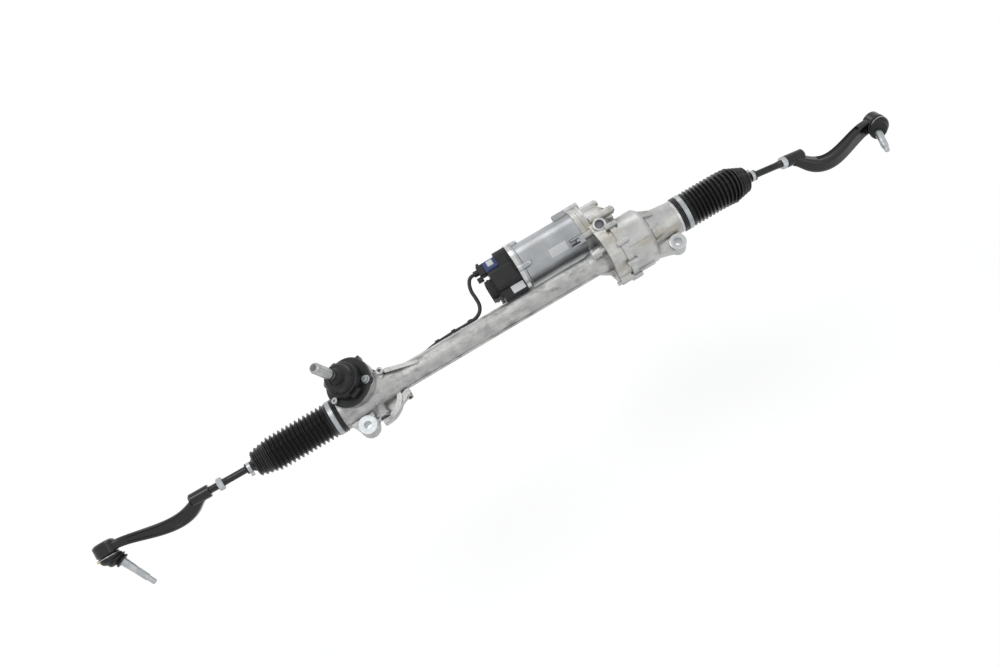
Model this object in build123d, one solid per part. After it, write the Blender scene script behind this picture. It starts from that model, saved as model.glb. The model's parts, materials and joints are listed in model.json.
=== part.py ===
from build123d import *
import math
import os
from dataclasses import dataclass

# An electric power steering rack with its motor beside the rack.
# Everything is drawn in the rack's own frame: X runs along the rack and points right, the rack's
# axis is Y = Z = 0, Z points up along the lug bores, and X = 0 lies midway between the two lugs.
# The finished pieces are moved once, so that the origin ends up midway between the lug bores at
# the faces that the lugs stand on.

# Mounting lugs
LUG_SPACING = 594.0          # between the two bolt axes
LUG_X = LUG_SPACING/2
LUG_REACH = 43.5             # from the rack's axis to the line of the bolts
LUG_THICK = 28.0
LUG_BOLT_R = 6.65            # clearance bore in the steel bushes
LUG_BUSH_R = 9.0
LEFT_LUG_R = 17.0
RIGHT_LUG_R = 14.5
BUSH_FLANGE_R = 15.6         # the left bush ends in a wide collar
BUSH_FLANGE_THICK = 1.6

# Fits
PRESS = 0.0                  # pieces of one body that are pushed together
RUNNING = 0.05               # radial clearance of a shaft, ball or bore that turns or slides
LOOSE = 0.3                  # pieces that pass without touching

# Rack bar and its stops
RACK_R = 13.0
RACK_HALF = LUG_X+97         # half the bar, out to the faces of the inner joints
STOP_HALF = LUG_X+24         # from the middle of the travel to each stop ring's face
STOP_CENTRE = 2.0
STOP_THICK = 8.0
STOP_PLAY = 0.5
REST_SHIFT = -12.0           # where the bar stands in the photograph, left of its middle
RACK_BORE_R = 14.6
JOINT_BORE_R = 20.0          # room in the housing's ends for the inner joints
JOINT_STUD = 20.0            # thread of the inner joint in the bar's end
JOINT_STUD_R = 8.0

# Rack and pinion
MODULE = 2.2
PINION_TEETH = 7
PRESSURE_ANGLE = 20.0
PINION_X = 22-LUG_X          # where the pinion crosses the rack
PINION_LEAN = 17.5           # the pinion leans to the left by this, and its teeth are cut to match
PINION_ROLL = 11.7           # and it leans away from the lugs by this
PINION_CENTRES = 18.8        # shortest distance of the two axes
RACK_ADDENDUM = 0.9          # height of the rack's teeth over the pitch line
PINION_ADDENDUM = 2.5
TOOTH_CLEARANCE = 0.3
BACKLASH = 0.4
PINION_FACE = 34.0
FLANK_SHARES = (0.0, 0.12, 0.3, 0.55, 0.8, 1.0)   # points of a flank, from its base circle out
LOWER_JOURNAL_R = 6.5
LOWER_BEARING_R = 12.0
LOWER_BEARING_BOTTOM = -33.0
LOWER_BEARING_TOP = -21.0
UPPER_JOURNAL_R = 9.0
UPPER_BEARING_R = 19.0
UPPER_BEARING_BOTTOM = 23.0
UPPER_BEARING_TOP = 37.0
PINION_TOP = 42.0
TORSION_BAR_R = 2.5
BAR_END_DEPTH = 12.0
SHAFT_R = 8.75
SHAFT_TIP = 146.0            # tip of the input shaft, from the crossing along the pinion
SHAFT_GROOVE = 126.0
SHAFT_GROOVE_R = 7.4
COVER_SEAT = 44.0            # face of the tower that the black cover stands on
COVER_R = 42.0
COVER_THICK = 8.0
COVER_SCREW_ANGLES = (-32.0, 145.0, 205.0)
COVER_SCREW_REACH = 36.5
DOME_R = 30.0
DOME_TOP = 71.0
CAP_R = 24.5
CAP_TOP = 86.0
SEAL_R = 15.0
SEAL_TOP = 96.0
SCREW_SHANK_R = 3.0

# Yoke, opposite the pinion
YOKE_R = 10.0
YOKE_X = PINION_X+7          # just clear of the lug's bush
YOKE_SEAT_REACH = 25.0
YOKE_PLUG_INNER = 33.0
YOKE_REACH = 47.0            # outer face of the plug, from the rack's axis
YOKE_WALL = 2.5
GUARD_R = 46.5               # curved wing round the yoke boss
GUARD_THICK = 9.0
GUARD_BOTTOM = -12.0
GUARD_TOP = 8.0
SPIGOT_OUT = 60.0            # small tube at the wing's end, from the pinion

# Left casting
NECK_R = 27.5                # the ends that the bellows are pushed on
LEFT_NECK_END = LUG_X+51
RIGHT_NECK_END = LUG_X+46
NECK_LENGTH = 20.5
BODY_R = 30.0
TUBE_R = 18.5
FIN_R = 20.6                 # tip of the casting fins on both sides of the tube
FIN_THICK = 5.0
TUBE_START = PINION_X+70
PLATE_LEFT = LUG_X-122       # flange where the tube meets the drive's castings
PLATE_R = 25.5
TUBE_END = PLATE_LEFT-23
DRIVE_LEFT = PLATE_LEFT+8
FOOT_REACH = 51.0            # screw corner of that flange, on the side of the lugs
FOOT_LENGTH = 20.0
FOOT_R = 5.5
FOOT_HEAD_R = 5.2
FOOT_HEAD = 3.5
TUBE_RIB_ANGLES = (50.0, 100.0, 150.0)
DRIVE_SCREW_R = 3.5
FLANGE_SCREW = (2.0, 37.0)   # (y, z) of its upper screw
SMALL_BOSS_X = PINION_X+38   # blind boss beside the tower
SMALL_BOSS_Y = 23.0
SMALL_BOSS_R = 6.2
SMALL_BOSS_TOP = 26.0

# Drive: belt, ball nut and their castings
DRIVE_JOINT = DRIVE_LEFT+29  # face between the belt casting and the nut casting
DRUM_R = 49.0
DRUM_END = DRIVE_JOINT+46
MOTOR_Y = 66.0
MOTOR_Z = -20.0
BELT_PITCH = 3.0
LARGE_PULLEY_TEETH = 84
SMALL_PULLEY_TEETH = 28
BELT_WIDTH = 20.0
BELT_THICK = 2.0
BELT_CENTRE = DRIVE_LEFT+15
SCREW_ROOT_R = 11.4          # root of the ball screw on the rack bar
NUT_R = 22.0
NUT_LEFT = DRIVE_LEFT+4
NUT_RIGHT = DRUM_END-4
BALL_SCREW_LEAD = 7.0
DRIVE_BALL_R = 2.4
BALLS_PER_TURN = 9
BALLS_LEFT = NUT_LEFT+19
BALLS_RIGHT = BALLS_LEFT+28
NUT_BEARING_LEFT = DRIVE_JOINT+2
NUT_BEARING_WIDTH = 22.0
NUT_BEARING_BORE_R = 24.0
NUT_BEARING_R = 40.0
LOCK_RING_LEFT = NUT_BEARING_LEFT+NUT_BEARING_WIDTH
LOCK_RING_R = NUT_BEARING_R-2
GUSSETS = 10
JOINT_SCREW_ANGLES = (55.0, 98.0, 140.0, 185.0, 232.0, 280.0)
JOINT_SCREW_REACH = DRUM_R+4.2
JOINT_SCREW_R = 2.0
JOINT_HEAD_R = 3.9
JOINT_BOSS_R = 5.0
JOINT_BOSS = 8.0             # length of the screw bosses, on each side of the joint
PORT_X = DRIVE_LEFT+16.5
PORT_Y = 45.0
PORT_R = 9.5
PORT_TOP = 34.0
SNOUT_END = DRIVE_JOINT+13
SNOUT_SCREW_REACH = 39.0
SNOUT_BOSS_R = 7.5
SNOUT_SCREWS = ((-15.0, SNOUT_END), (94.5, SNOUT_END+9), (262.0, SNOUT_END))   # angle, boss's end
SNOUT_LENGTH = 22.0          # beyond the joint
SNOUT_TAPER = 18.0
SNOUT_SLOT_ANGLES = (20.0, 58.0, 128.0)

# Motor and control unit
MOTOR_R = 42.0
MOTOR_WALL = 3.5
MOTOR_RIGHT = DRIVE_LEFT-15
MOTOR_LEFT = MOTOR_RIGHT-115
BASE_LEFT = MOTOR_LEFT-7     # aluminium base between the motor and the control unit
MOTOR_SCREW_ANGLES = (15.0, 118.0, 238.0)
MOTOR_SCREW_REACH = 45.0
MOTOR_PAD_LEFT = MOTOR_RIGHT-24
MOTOR_PAD_R = 50.5
MOTOR_PAD_HALF = 7.0
MOTOR_HEAD_LEFT = MOTOR_RIGHT-9
MOTOR_HEAD_R = 4.6
BASE_SCREW_ANGLES = (22.0, 107.0, 200.0, 290.0)
MOTOR_BEARING_R = 14.0
ROTOR_SHAFT_R = 6.0
ADAPTER_R = MOTOR_R+3        # ring between the can and the belt casting
ROTOR_R = 20.0
STATOR_R = MOTOR_R-MOTOR_WALL
STATOR_LEFT = MOTOR_LEFT+22
STATOR_RIGHT = MOTOR_RIGHT-22
STATOR_TEETH = 12
CASE_LEFT = BASE_LEFT-46
CASE_WALL = 2.5
CASE_LOW_Y = 16.5
CASE_HIGH_Y = 107.0
CASE_STEP_Y = 78.0
CASE_STEP_X = CASE_LEFT+23
CASE_TOP = 22.0
CASE_BOTTOM = -60.0
HEADER_OUT = 13.0
HEADER_Y = (35.0, 71.0)
HEADER_Z = (-26.0, 11.0)
SIGNAL_Y = (79.0, 100.0)
SIGNAL_Z = (-10.0, 12.5)

# Bellows and clamps
BELLOWS_R = 30.4
CUFF_WALL = 1.8
CLAMP_WIDTH = 8.0
CLAMP_THICK = 1.1
SMALL_CUFF_LENGTH = 10.0
LARGE_EAR_TURN = 150.0
SMALL_EAR_TURN = 250.0

# Inner joints and tie rods
INNER_BALL_R = 11.0
INNER_BALL_OUT = 28.0        # ball's centre, from the face against the rack bar
JOINT_R = 17.0
SEAT_WALL = 1.5
ROD_R = 6.0
ROD_NECK_R = 5.5
NUT_FLATS = 19.0
NUT_THICK = 10.0

# Outer ends
SLEEVE_TO_BALL = 190.0
SLEEVE_LENGTH = 37.0
SLEEVE_R = 11.0
THREAD_GRIP = 28.0
ARM_TURN = 50.7              # the arm's bow, turned from the stud's side towards the bar's side
END_BALL_R = 11.5
END_HOUSING_R = 19.5
END_HOUSING_TOP = 9.5
END_HOUSING_BOTTOM = -13.0
STUD_TIP = 97.0
STUD_TAPER_START = 33.0
STUD_TAPER_END = 57.0
STUD_R = 7.2
STUD_NECK_R = 6.2
STUD_THREAD_R = 5.9
STUD_LEAN = 27.0             # the studs lean inwards by this in the photograph
BOOT_BOTTOM_R = 17.5
BOOT_TOP_R = 11.0
BOOT_TOP = 31.0

# Lead of the torque sensor
CABLE_R = 3.25
CABLE_POINTS = [
    (CASE_LEFT-16, 93.0, -2.0), (-29.0, 93.0, -2.0), (-36.0, 82.0, -4.0), (-38.5, 70.0, -4.5),
    (-37.5, 56.0, -5.0), (-38.0, 43.0, -5.0), (-43.5, 32.5, -5.5), (-54.0, 26.5, -6.0),
    (-72.0, 25.0, -6.5), (-102.0, 25.5, -7.0), (-138.0, 24.5, -9.0), (-166.0, 21.5, -18.0),
    (-194.0, 18.0, -27.0), (-220.0, 22.0, -31.0), (-240.0, 33.0, -27.0), (-252.0, 46.0, -17.0),
    (-257.0, 55.0, -4.0),
]
CLIP_STATIONS = (CASE_LEFT-66, CASE_LEFT-98, CASE_LEFT-130)


@dataclass
class Side:
    """One end of the steering rack; its X points outwards."""
    name: str
    turn: float              # of that end's frame about Z
    neck_end: float
    small_cuff_out: float    # middle of the small cuff, from the inner ball
    yaw: float
    droop: float
    roll: float              # turns Z into the direction of the outer ball's housing
    reach: float             # inner ball to outer ball
    bare_thread: float       # between the lock nut and the sleeve
    hand: int

    def ball_out(self):
        """Inner ball's distance from X = 0 at rest."""
        middle = STOP_CENTRE+REST_SHIFT
        return RACK_HALF+INNER_BALL_OUT+(middle if self.turn == 0 else -middle)

    def end_frame(self):
        return Rot(Z=self.turn)

    def rod_frame(self):
        """Origin at the inner ball, X along the tie rod, Z the way that the outer stud faces."""
        tilt = Rot(Z=self.yaw)*Rot(Y=self.droop)*Rot(X=self.roll)
        return self.end_frame()*Pos(self.ball_out(), 0, 0)*tilt


LEFT = Side("left", 180.0, LEFT_NECK_END, 68.7, 0.0, -3.0, -105.0, 332.0, 15.0, -1)
RIGHT = Side("right", 0.0, RIGHT_NECK_END, 61.0, -2.5, 14.0, 56.0, 321.0, 0.0, 1)
SIDES = (LEFT, RIGHT)

# Values that follow from the ones above
RACK_MIDDLE = STOP_CENTRE+REST_SHIFT
TRAVEL_RIGHT = RACK_HALF-STOP_HALF-REST_SHIFT-STOP_PLAY
TRAVEL_LEFT = RACK_HALF-STOP_HALF+REST_SHIFT-STOP_PLAY
TOOTH_PITCH = math.pi*MODULE
LEAN = math.radians(PINION_LEAN)
PINION_PITCH_R = MODULE*PINION_TEETH/2/math.cos(LEAN)
RACK_PITCH_HEIGHT = PINION_CENTRES-PINION_PITCH_R
RACK_TIP_HEIGHT = RACK_PITCH_HEIGHT+RACK_ADDENDUM
RACK_ROOT_HEIGHT = RACK_PITCH_HEIGHT-PINION_ADDENDUM-TOOTH_CLEARANCE
LARGE_PULLEY_R = BELT_PITCH*LARGE_PULLEY_TEETH/2/math.pi
SMALL_PULLEY_R = BELT_PITCH*SMALL_PULLEY_TEETH/2/math.pi
BELT_CAVITY_R = LARGE_PULLEY_R+BELT_THICK+1.2
SMALL_END_R = SMALL_PULLEY_R+BELT_THICK+7
MOTOR = Pos(0, MOTOR_Y, MOTOR_Z)
ACROSS = Rot(X=-PINION_ROLL)
PINION = ACROSS*Pos(PINION_X, PINION_CENTRES, 0)*Rot(Y=-PINION_LEAN)
TO_LUGS = Pos(0, LUG_REACH, LUG_THICK/2)
ALONG_X = Rot(Y=90)*Rot(Z=90)   # lays a drawing of (y, z) points across X


def along_x(radius, start, stop, y=0, z=0):
    """A cylinder along X."""
    return Pos((start+stop)/2, y, z)*Rot(Y=90)*Cylinder(radius, stop-start)


def along_z(radius, start, stop, x=0, y=0):
    """A cylinder along Z."""
    return Pos(x, y, (start+stop)/2)*Cylinder(radius, stop-start)


def block(x0, x1, y0, y1, z0, z1):
    """A block between two corners."""
    return Pos((x0+x1)/2, (y0+y1)/2, (z0+z1)/2)*Box(x1-x0, y1-y0, z1-z0)


def turned(*outline):
    """The closed outline of (x, radius) points, turned about X."""
    return revolve(make_face(Polyline(*outline, close=True)), Axis.X)


def upright(*outline):
    """The closed outline of (z, radius) points, turned about Z."""
    return Rot(Y=-90)*turned(*outline)


def ring_x(outer, inner, start, stop):
    return along_x(outer, start, stop)-along_x(inner, start-1, stop+1)


def ring_z(outer, inner, start, stop):
    return along_z(outer, start, stop)-along_z(inner, start-1, stop+1)


def hull_x(circles, start, stop):
    """The hull of circles (y, z, radius), drawn out along X."""
    edges = []
    for y, z, radius in circles:
        edges.append((Pos(y, z)*CenterArc((0, 0), radius, 0, 360)).edge())
    outline = make_hull(edges)
    return Pos(start, 0, 0)*ALONG_X*extrude(outline, stop-start)


def hull_z(circles, start, stop):
    """The hull of circles (x, y, radius), drawn out along Z."""
    edges = []
    for x, y, radius in circles:
        edges.append((Pos(x, y)*CenterArc((0, 0), radius, 0, 360)).edge())
    return Pos(0, 0, start)*extrude(make_hull(edges), stop-start)


def round_points(radius, angles):
    """Points (y, z) on a circle about X, from angles in degrees."""
    for angle in angles:
        turn = math.radians(angle)
        yield radius*math.cos(turn), radius*math.sin(turn)


def screw(head_r, head_height, shank_r, shank):
    """A socket screw that stands on Z = 0 with its shank below."""
    head = along_z(head_r, 0, head_height)-along_z(head_r*0.45, head_height*0.45, head_height+1)
    return head+along_z(shank_r, -shank, 0)


# Rack and pinion

def space_half_width(height):
    """Half of the gap between two rack teeth, at a height over the pitch line."""
    middle = (RACK_ADDENDUM-PINION_ADDENDUM-TOOTH_CLEARANCE)/2
    return TOOTH_PITCH/4+(height-middle)*math.tan(math.radians(PRESSURE_ANGLE))


def rack_bar():
    """The bar with its teeth at the left, its ball screw at the right and a socket in each end."""
    bar = along_x(RACK_R, RACK_MIDDLE-RACK_HALF, RACK_MIDDLE+RACK_HALF)
    margin = PINION_FACE/2*math.sin(LEAN)+TOOTH_PITCH
    first = -math.ceil((TRAVEL_RIGHT+margin)/TOOTH_PITCH)
    last = math.ceil((TRAVEL_LEFT+margin)/TOOTH_PITCH)
    flat_left = PINION_X+(first-0.5)*TOOTH_PITCH
    flat_right = PINION_X+(last+0.5)*TOOTH_PITCH
    cutters = [block(flat_left, flat_right, RACK_TIP_HEIGHT, RACK_R+1, -RACK_R, RACK_R)]
    low = RACK_ROOT_HEIGHT-RACK_PITCH_HEIGHT
    for step in range(first, last+1):
        centre = PINION_X+step*TOOTH_PITCH
        corners = []
        for sign, height in ((-1, RACK_ADDENDUM+1), (-1, low), (1, low), (1, RACK_ADDENDUM+1)):
            corners.append((centre+sign*space_half_width(height), RACK_PITCH_HEIGHT+height))
        gap = extrude(make_face(Polyline(*corners, close=True)), RACK_R, both=True)
        cutters.append(gap)
    bar -= [ACROSS*cutter for cutter in cutters]
    screw_left = NUT_LEFT-TRAVEL_RIGHT-BALL_SCREW_LEAD
    screw_right = NUT_RIGHT+TRAVEL_LEFT+BALL_SCREW_LEAD
    chamfer_length = RACK_R-SCREW_ROOT_R
    bar -= turned((screw_left, SCREW_ROOT_R), (screw_left-chamfer_length, RACK_R+1),
                  (screw_right+chamfer_length, RACK_R+1), (screw_right, SCREW_ROOT_R))
    for end in (-1, 1):
        face = RACK_MIDDLE+end*RACK_HALF
        depth = face-end*(JOINT_STUD+2)
        bar -= along_x(JOINT_STUD_R, min(face+end, depth), max(face+end, depth))
    return bar


def involute(angle):
    return math.tan(angle)-angle


def pinion_profile():
    """The pinion's outline across its axis: involute flanks on seven teeth."""
    across_angle = math.atan(math.tan(math.radians(PRESSURE_ANGLE))/math.cos(LEAN))
    base_r = PINION_PITCH_R*math.cos(across_angle)
    tip_r = PINION_PITCH_R+PINION_ADDENDUM
    root_r = PINION_PITCH_R-RACK_ADDENDUM-TOOTH_CLEARANCE
    thick = (2*space_half_width(0)-BACKLASH)/math.cos(LEAN)
    flank = []
    for share in FLANK_SHARES:
        radius = base_r+(tip_r-base_r)*share
        local = math.acos(base_r/radius)
        half = thick/2/PINION_PITCH_R+involute(across_angle)-involute(local)
        flank.append((radius, half))
    root_half = flank[0][1]
    points = []
    for tooth in range(PINION_TEETH):
        middle = math.radians(-90)+tooth*2*math.pi/PINION_TEETH
        polar = [(root_r, middle-root_half)]
        polar += [(radius, middle-half) for radius, half in flank]
        polar += [(radius, middle+half) for radius, half in reversed(flank)]
        polar += [(root_r, middle+root_half)]
        points += [(radius*math.cos(turn), radius*math.sin(turn)) for radius, turn in polar]
    return make_face(Polyline(*points, close=True))


def pinion():
    """Helical pinion with its two journals; drawn upright about its own axis."""
    twist = math.degrees(math.tan(LEAN)/PINION_PITCH_R*PINION_FACE)
    outline = Pos(0, 0, -PINION_FACE/2)*Rot(Z=-twist/2)*pinion_profile()
    teeth = Solid.extrude_linear_with_rotation(
        outline.face(), center=(0, 0, -PINION_FACE/2), normal=(0, 0, PINION_FACE), angle=twist)
    lower = along_z(LOWER_JOURNAL_R, LOWER_BEARING_BOTTOM, -PINION_FACE/2)
    upper = along_z(UPPER_JOURNAL_R, PINION_FACE/2, PINION_TOP)
    core = along_z(PINION_PITCH_R-RACK_ADDENDUM-TOOTH_CLEARANCE-0.2, -PINION_FACE/2, PINION_FACE/2)
    return teeth+core+lower+upper-along_z(TORSION_BAR_R+PRESS, -PINION_FACE/3, PINION_TOP+1)


def pinion_bearings():
    """The pinion's lower and upper bearing, each a ring in its seat."""
    lower = ring_z(LOWER_BEARING_R, LOWER_JOURNAL_R+RUNNING, LOWER_BEARING_BOTTOM, LOWER_BEARING_TOP)
    upper = ring_z(UPPER_BEARING_R, UPPER_JOURNAL_R+RUNNING, UPPER_BEARING_BOTTOM, UPPER_BEARING_TOP)
    return [lower, upper]


def torsion_bar():
    """Thin bar between the input shaft and the pinion."""
    return along_z(TORSION_BAR_R, -PINION_FACE/3, SHAFT_TIP-BAR_END_DEPTH-RUNNING)


def input_shaft():
    """Splined input shaft with the groove for the pinch bolt and a bore for the torsion bar."""
    bottom = PINION_TOP+LOOSE
    tip = SHAFT_TIP
    shaft = upright((bottom, 0), (bottom, SHAFT_R-1), (bottom+2, SHAFT_R), (SHAFT_GROOVE-4, SHAFT_R),
                    (SHAFT_GROOVE-2, SHAFT_GROOVE_R), (SHAFT_GROOVE+2, SHAFT_GROOVE_R),
                    (SHAFT_GROOVE+4, SHAFT_R), (tip-2, SHAFT_R), (tip, SHAFT_R-1.5), (tip, 0))
    shaft -= along_z(TORSION_BAR_R+RUNNING, bottom-1, tip-BAR_END_DEPTH)
    return shaft-along_z(SHAFT_R*0.45, tip-8, tip+1)


def yoke():
    """Pressed against the rack's back by its spring, with a saddle that fits the bar."""
    body = Rot(X=90)*along_z(YOKE_R, 4, YOKE_SEAT_REACH)
    body = Pos(YOKE_X, 0, 0)*body-along_x(RACK_R+RUNNING, YOKE_X-30, YOKE_X+30)
    pocket = Pos(YOKE_X, 0, 0)*Rot(X=90)*along_z(YOKE_R*0.7, YOKE_SEAT_REACH-3, YOKE_SEAT_REACH+1)
    return ACROSS*(body-pocket)


def yoke_spring():
    """Four disc springs, stacked in pairs, between the yoke and its plug."""
    gap = YOKE_PLUG_INNER-(YOKE_SEAT_REACH-3)
    thick = 1.2
    rise = gap/4-thick
    discs = []
    for place in range(4):
        low = YOKE_SEAT_REACH-3+place*gap/4
        inner_z, outer_z = (low+rise, low) if place % 2 == 0 else (low, low+rise)
        outline = ((inner_z, 3.5), (outer_z, 6.4), (outer_z+thick, 6.4), (inner_z+thick, 3.5))
        discs.append(ACROSS*Pos(YOKE_X, 0, 0)*Rot(X=90)*upright(*outline))
    return discs


def yoke_plug():
    """Threaded plug with a hexagon socket, which sets the yoke's play."""
    plug = along_z(YOKE_R, YOKE_PLUG_INNER, YOKE_REACH)
    socket = Pos(0, 0, YOKE_REACH-6)*extrude(RegularPolygon(7, 6), 7)
    return ACROSS*Pos(YOKE_X, 0, 0)*Rot(X=90)*(plug-socket)


def torque_sensor():
    """Ring round the input shaft that reads its twist."""
    ring = ring_z(25, SHAFT_R+3, UPPER_BEARING_TOP, COVER_SEAT+8)
    return PINION*(ring+Rot(Z=180)*block(20, DOME_R-5, -6, 6, COVER_SEAT+1, COVER_SEAT+6))


def pinion_cover():
    """Black plastic cover over the torque sensor: a disc, a stepped dome and screw lobes."""
    seat = COVER_SEAT
    top = seat+COVER_THICK
    wall = 2.5
    cover = upright((seat, 0), (seat, COVER_R), (top-2, COVER_R), (top, COVER_R-2), (top, DOME_R+0.5),
                    (top+3, DOME_R), (DOME_TOP-2, DOME_R-0.5), (DOME_TOP, DOME_R-2.5), (DOME_TOP, CAP_R+1),
                    (DOME_TOP+2, CAP_R), (CAP_TOP-3, CAP_R-1), (CAP_TOP, CAP_R-4), (CAP_TOP, 0))
    for angle in COVER_SCREW_ANGLES[:2]:
        cover += Rot(Z=angle)*along_z(9, seat, top, COVER_SCREW_REACH)
    cover += Rot(Z=97)*along_z(6.5, seat, top+9, COVER_SCREW_REACH-4)
    cover += Rot(Z=-75)*block(10, DOME_R+5, -9, 9, top-1, DOME_TOP-7)
    cover -= upright((seat-1, 0), (seat-1, DOME_R-wall), (DOME_TOP-wall, DOME_R-wall-1.5),
                     (DOME_TOP-wall, CAP_R-wall), (CAP_TOP-wall-1, CAP_R-wall-1), (CAP_TOP-wall-1, 0))
    cover -= along_z(SEAL_R, CAP_TOP-wall-2, CAP_TOP+1)
    for angle in COVER_SCREW_ANGLES:
        cover -= Rot(Z=angle)*along_z(SCREW_SHANK_R+0.1, seat-1, top+1, COVER_SCREW_REACH)
    return PINION*cover


def cover_screws():
    """The cover's screws."""
    screws = []
    for angle in COVER_SCREW_ANGLES:
        place = Rot(Z=angle)*Pos(COVER_SCREW_REACH, 0, COVER_SEAT+COVER_THICK)
        screws.append(PINION*place*screw(5.4, 4.5, SCREW_SHANK_R, 18))
    return screws


def shaft_seal():
    """Rubber seal between the cover and the input shaft."""
    low = CAP_TOP-3.5
    seal = upright((low, SHAFT_R+RUNNING*2), (low, SEAL_R), (CAP_TOP+1, SEAL_R), (CAP_TOP+2, SEAL_R-1),
                   (SEAL_TOP-2, SHAFT_R+2.5), (SEAL_TOP, SHAFT_R+1.5), (SEAL_TOP, SHAFT_R+RUNNING*2))
    return PINION*seal


# Left casting: tower, yoke boss, lug, tube and flange

def tower():
    """Casting round the pinion, which widens into the seat of the cover."""
    return PINION*upright((LOWER_BEARING_BOTTOM-6, 0), (LOWER_BEARING_BOTTOM-6, LOWER_BEARING_R+3),
                          (LOWER_BEARING_BOTTOM-2, LOWER_BEARING_R+6), (-8, 24), (12, 32), (28, COVER_R-2),
                          (COVER_SEAT, COVER_R-1), (COVER_SEAT, 0))


def tower_bores():
    """Room for the pinion, its bearings and the torque sensor."""
    parts = [
        along_z(LOWER_BEARING_R+PRESS, LOWER_BEARING_BOTTOM, LOWER_BEARING_TOP+1),
        along_z(PINION_PITCH_R+PINION_ADDENDUM+1.2, LOWER_BEARING_BOTTOM+2, UPPER_BEARING_BOTTOM+1),
        along_z(UPPER_BEARING_R+PRESS, UPPER_BEARING_BOTTOM, COVER_SEAT+1),
        along_z(DOME_R-3, UPPER_BEARING_TOP, COVER_SEAT+1),
    ]
    for angle in COVER_SCREW_ANGLES:
        parts.append(Rot(Z=angle)*along_z(SCREW_SHANK_R, COVER_SEAT-12, COVER_SEAT+1, COVER_SCREW_REACH))
    return [PINION*part for part in parts]


def lug(side_x, radius, arm, top):
    """A mounting lug and its arm, which runs to the circles in arm."""
    boss = along_z(radius, -LUG_THICK/2, top, side_x, -LUG_REACH)
    web = hull_z([(side_x, -LUG_REACH, radius-2)]+arm, -LUG_THICK/2+4, LUG_THICK/2-4)
    return boss+web


def lug_bore(side_x):
    return along_z(LUG_BUSH_R, -LUG_THICK, LUG_THICK, side_x, -LUG_REACH)


def mount_bushes():
    """Steel bushes of the two lugs; the left one ends in a wide collar."""
    ring = ring_z(LUG_BUSH_R, LUG_BOLT_R, -LUG_THICK/2, LUG_THICK/2)
    collar = ring_z(BUSH_FLANGE_R, LUG_BOLT_R, LUG_THICK/2-BUSH_FLANGE_THICK, LUG_THICK/2)
    return [Pos(-LUG_X, -LUG_REACH, 0)*(ring+collar), Pos(LUG_X, -LUG_REACH, 0)*ring]


def yoke_boss():
    """Boss of the yoke, with a chamfered mouth round the plug."""
    boss = upright((5, 0), (5, YOKE_R+YOKE_WALL+3), (25, YOKE_R+YOKE_WALL),
                   (YOKE_REACH-5, YOKE_R+YOKE_WALL), (YOKE_REACH-3, YOKE_R+YOKE_WALL-2), (YOKE_REACH-3, 0))
    return ACROSS*Pos(YOKE_X, 0, 0)*Rot(X=90)*boss


def guard():
    """Thick curved wing beside the yoke boss, with the small tube at its end."""
    outer = along_z(GUARD_R, GUARD_BOTTOM, GUARD_TOP, PINION_X+8, -8)
    inner = along_z(GUARD_R-GUARD_THICK, GUARD_BOTTOM-1, GUARD_TOP+1, PINION_X+8, -8)
    wing = (outer-inner) & block(PINION_X+2, PINION_X+50, -56, -20, GUARD_BOTTOM, GUARD_TOP)
    bridge = hull_z([(PINION_X+43, -34, 5), (PINION_X+SPIGOT_OUT, -26, 5.5)], GUARD_BOTTOM+3, GUARD_TOP-3)
    place = Pos(PINION_X+SPIGOT_OUT, -28, -2)*Rot(X=70)
    return wing+bridge+place*along_z(5.5, -6, 9)-place*along_z(3.2, 0, 10)


def breather():
    """Slanting spigot beside the flange."""
    place = Pos(PLATE_LEFT-6, 7, 21)*Rot(Z=-65)*Rot(Y=90)
    return place*along_z(5.4, -10, 10), place*along_z(3.4, 2, 11)


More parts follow.
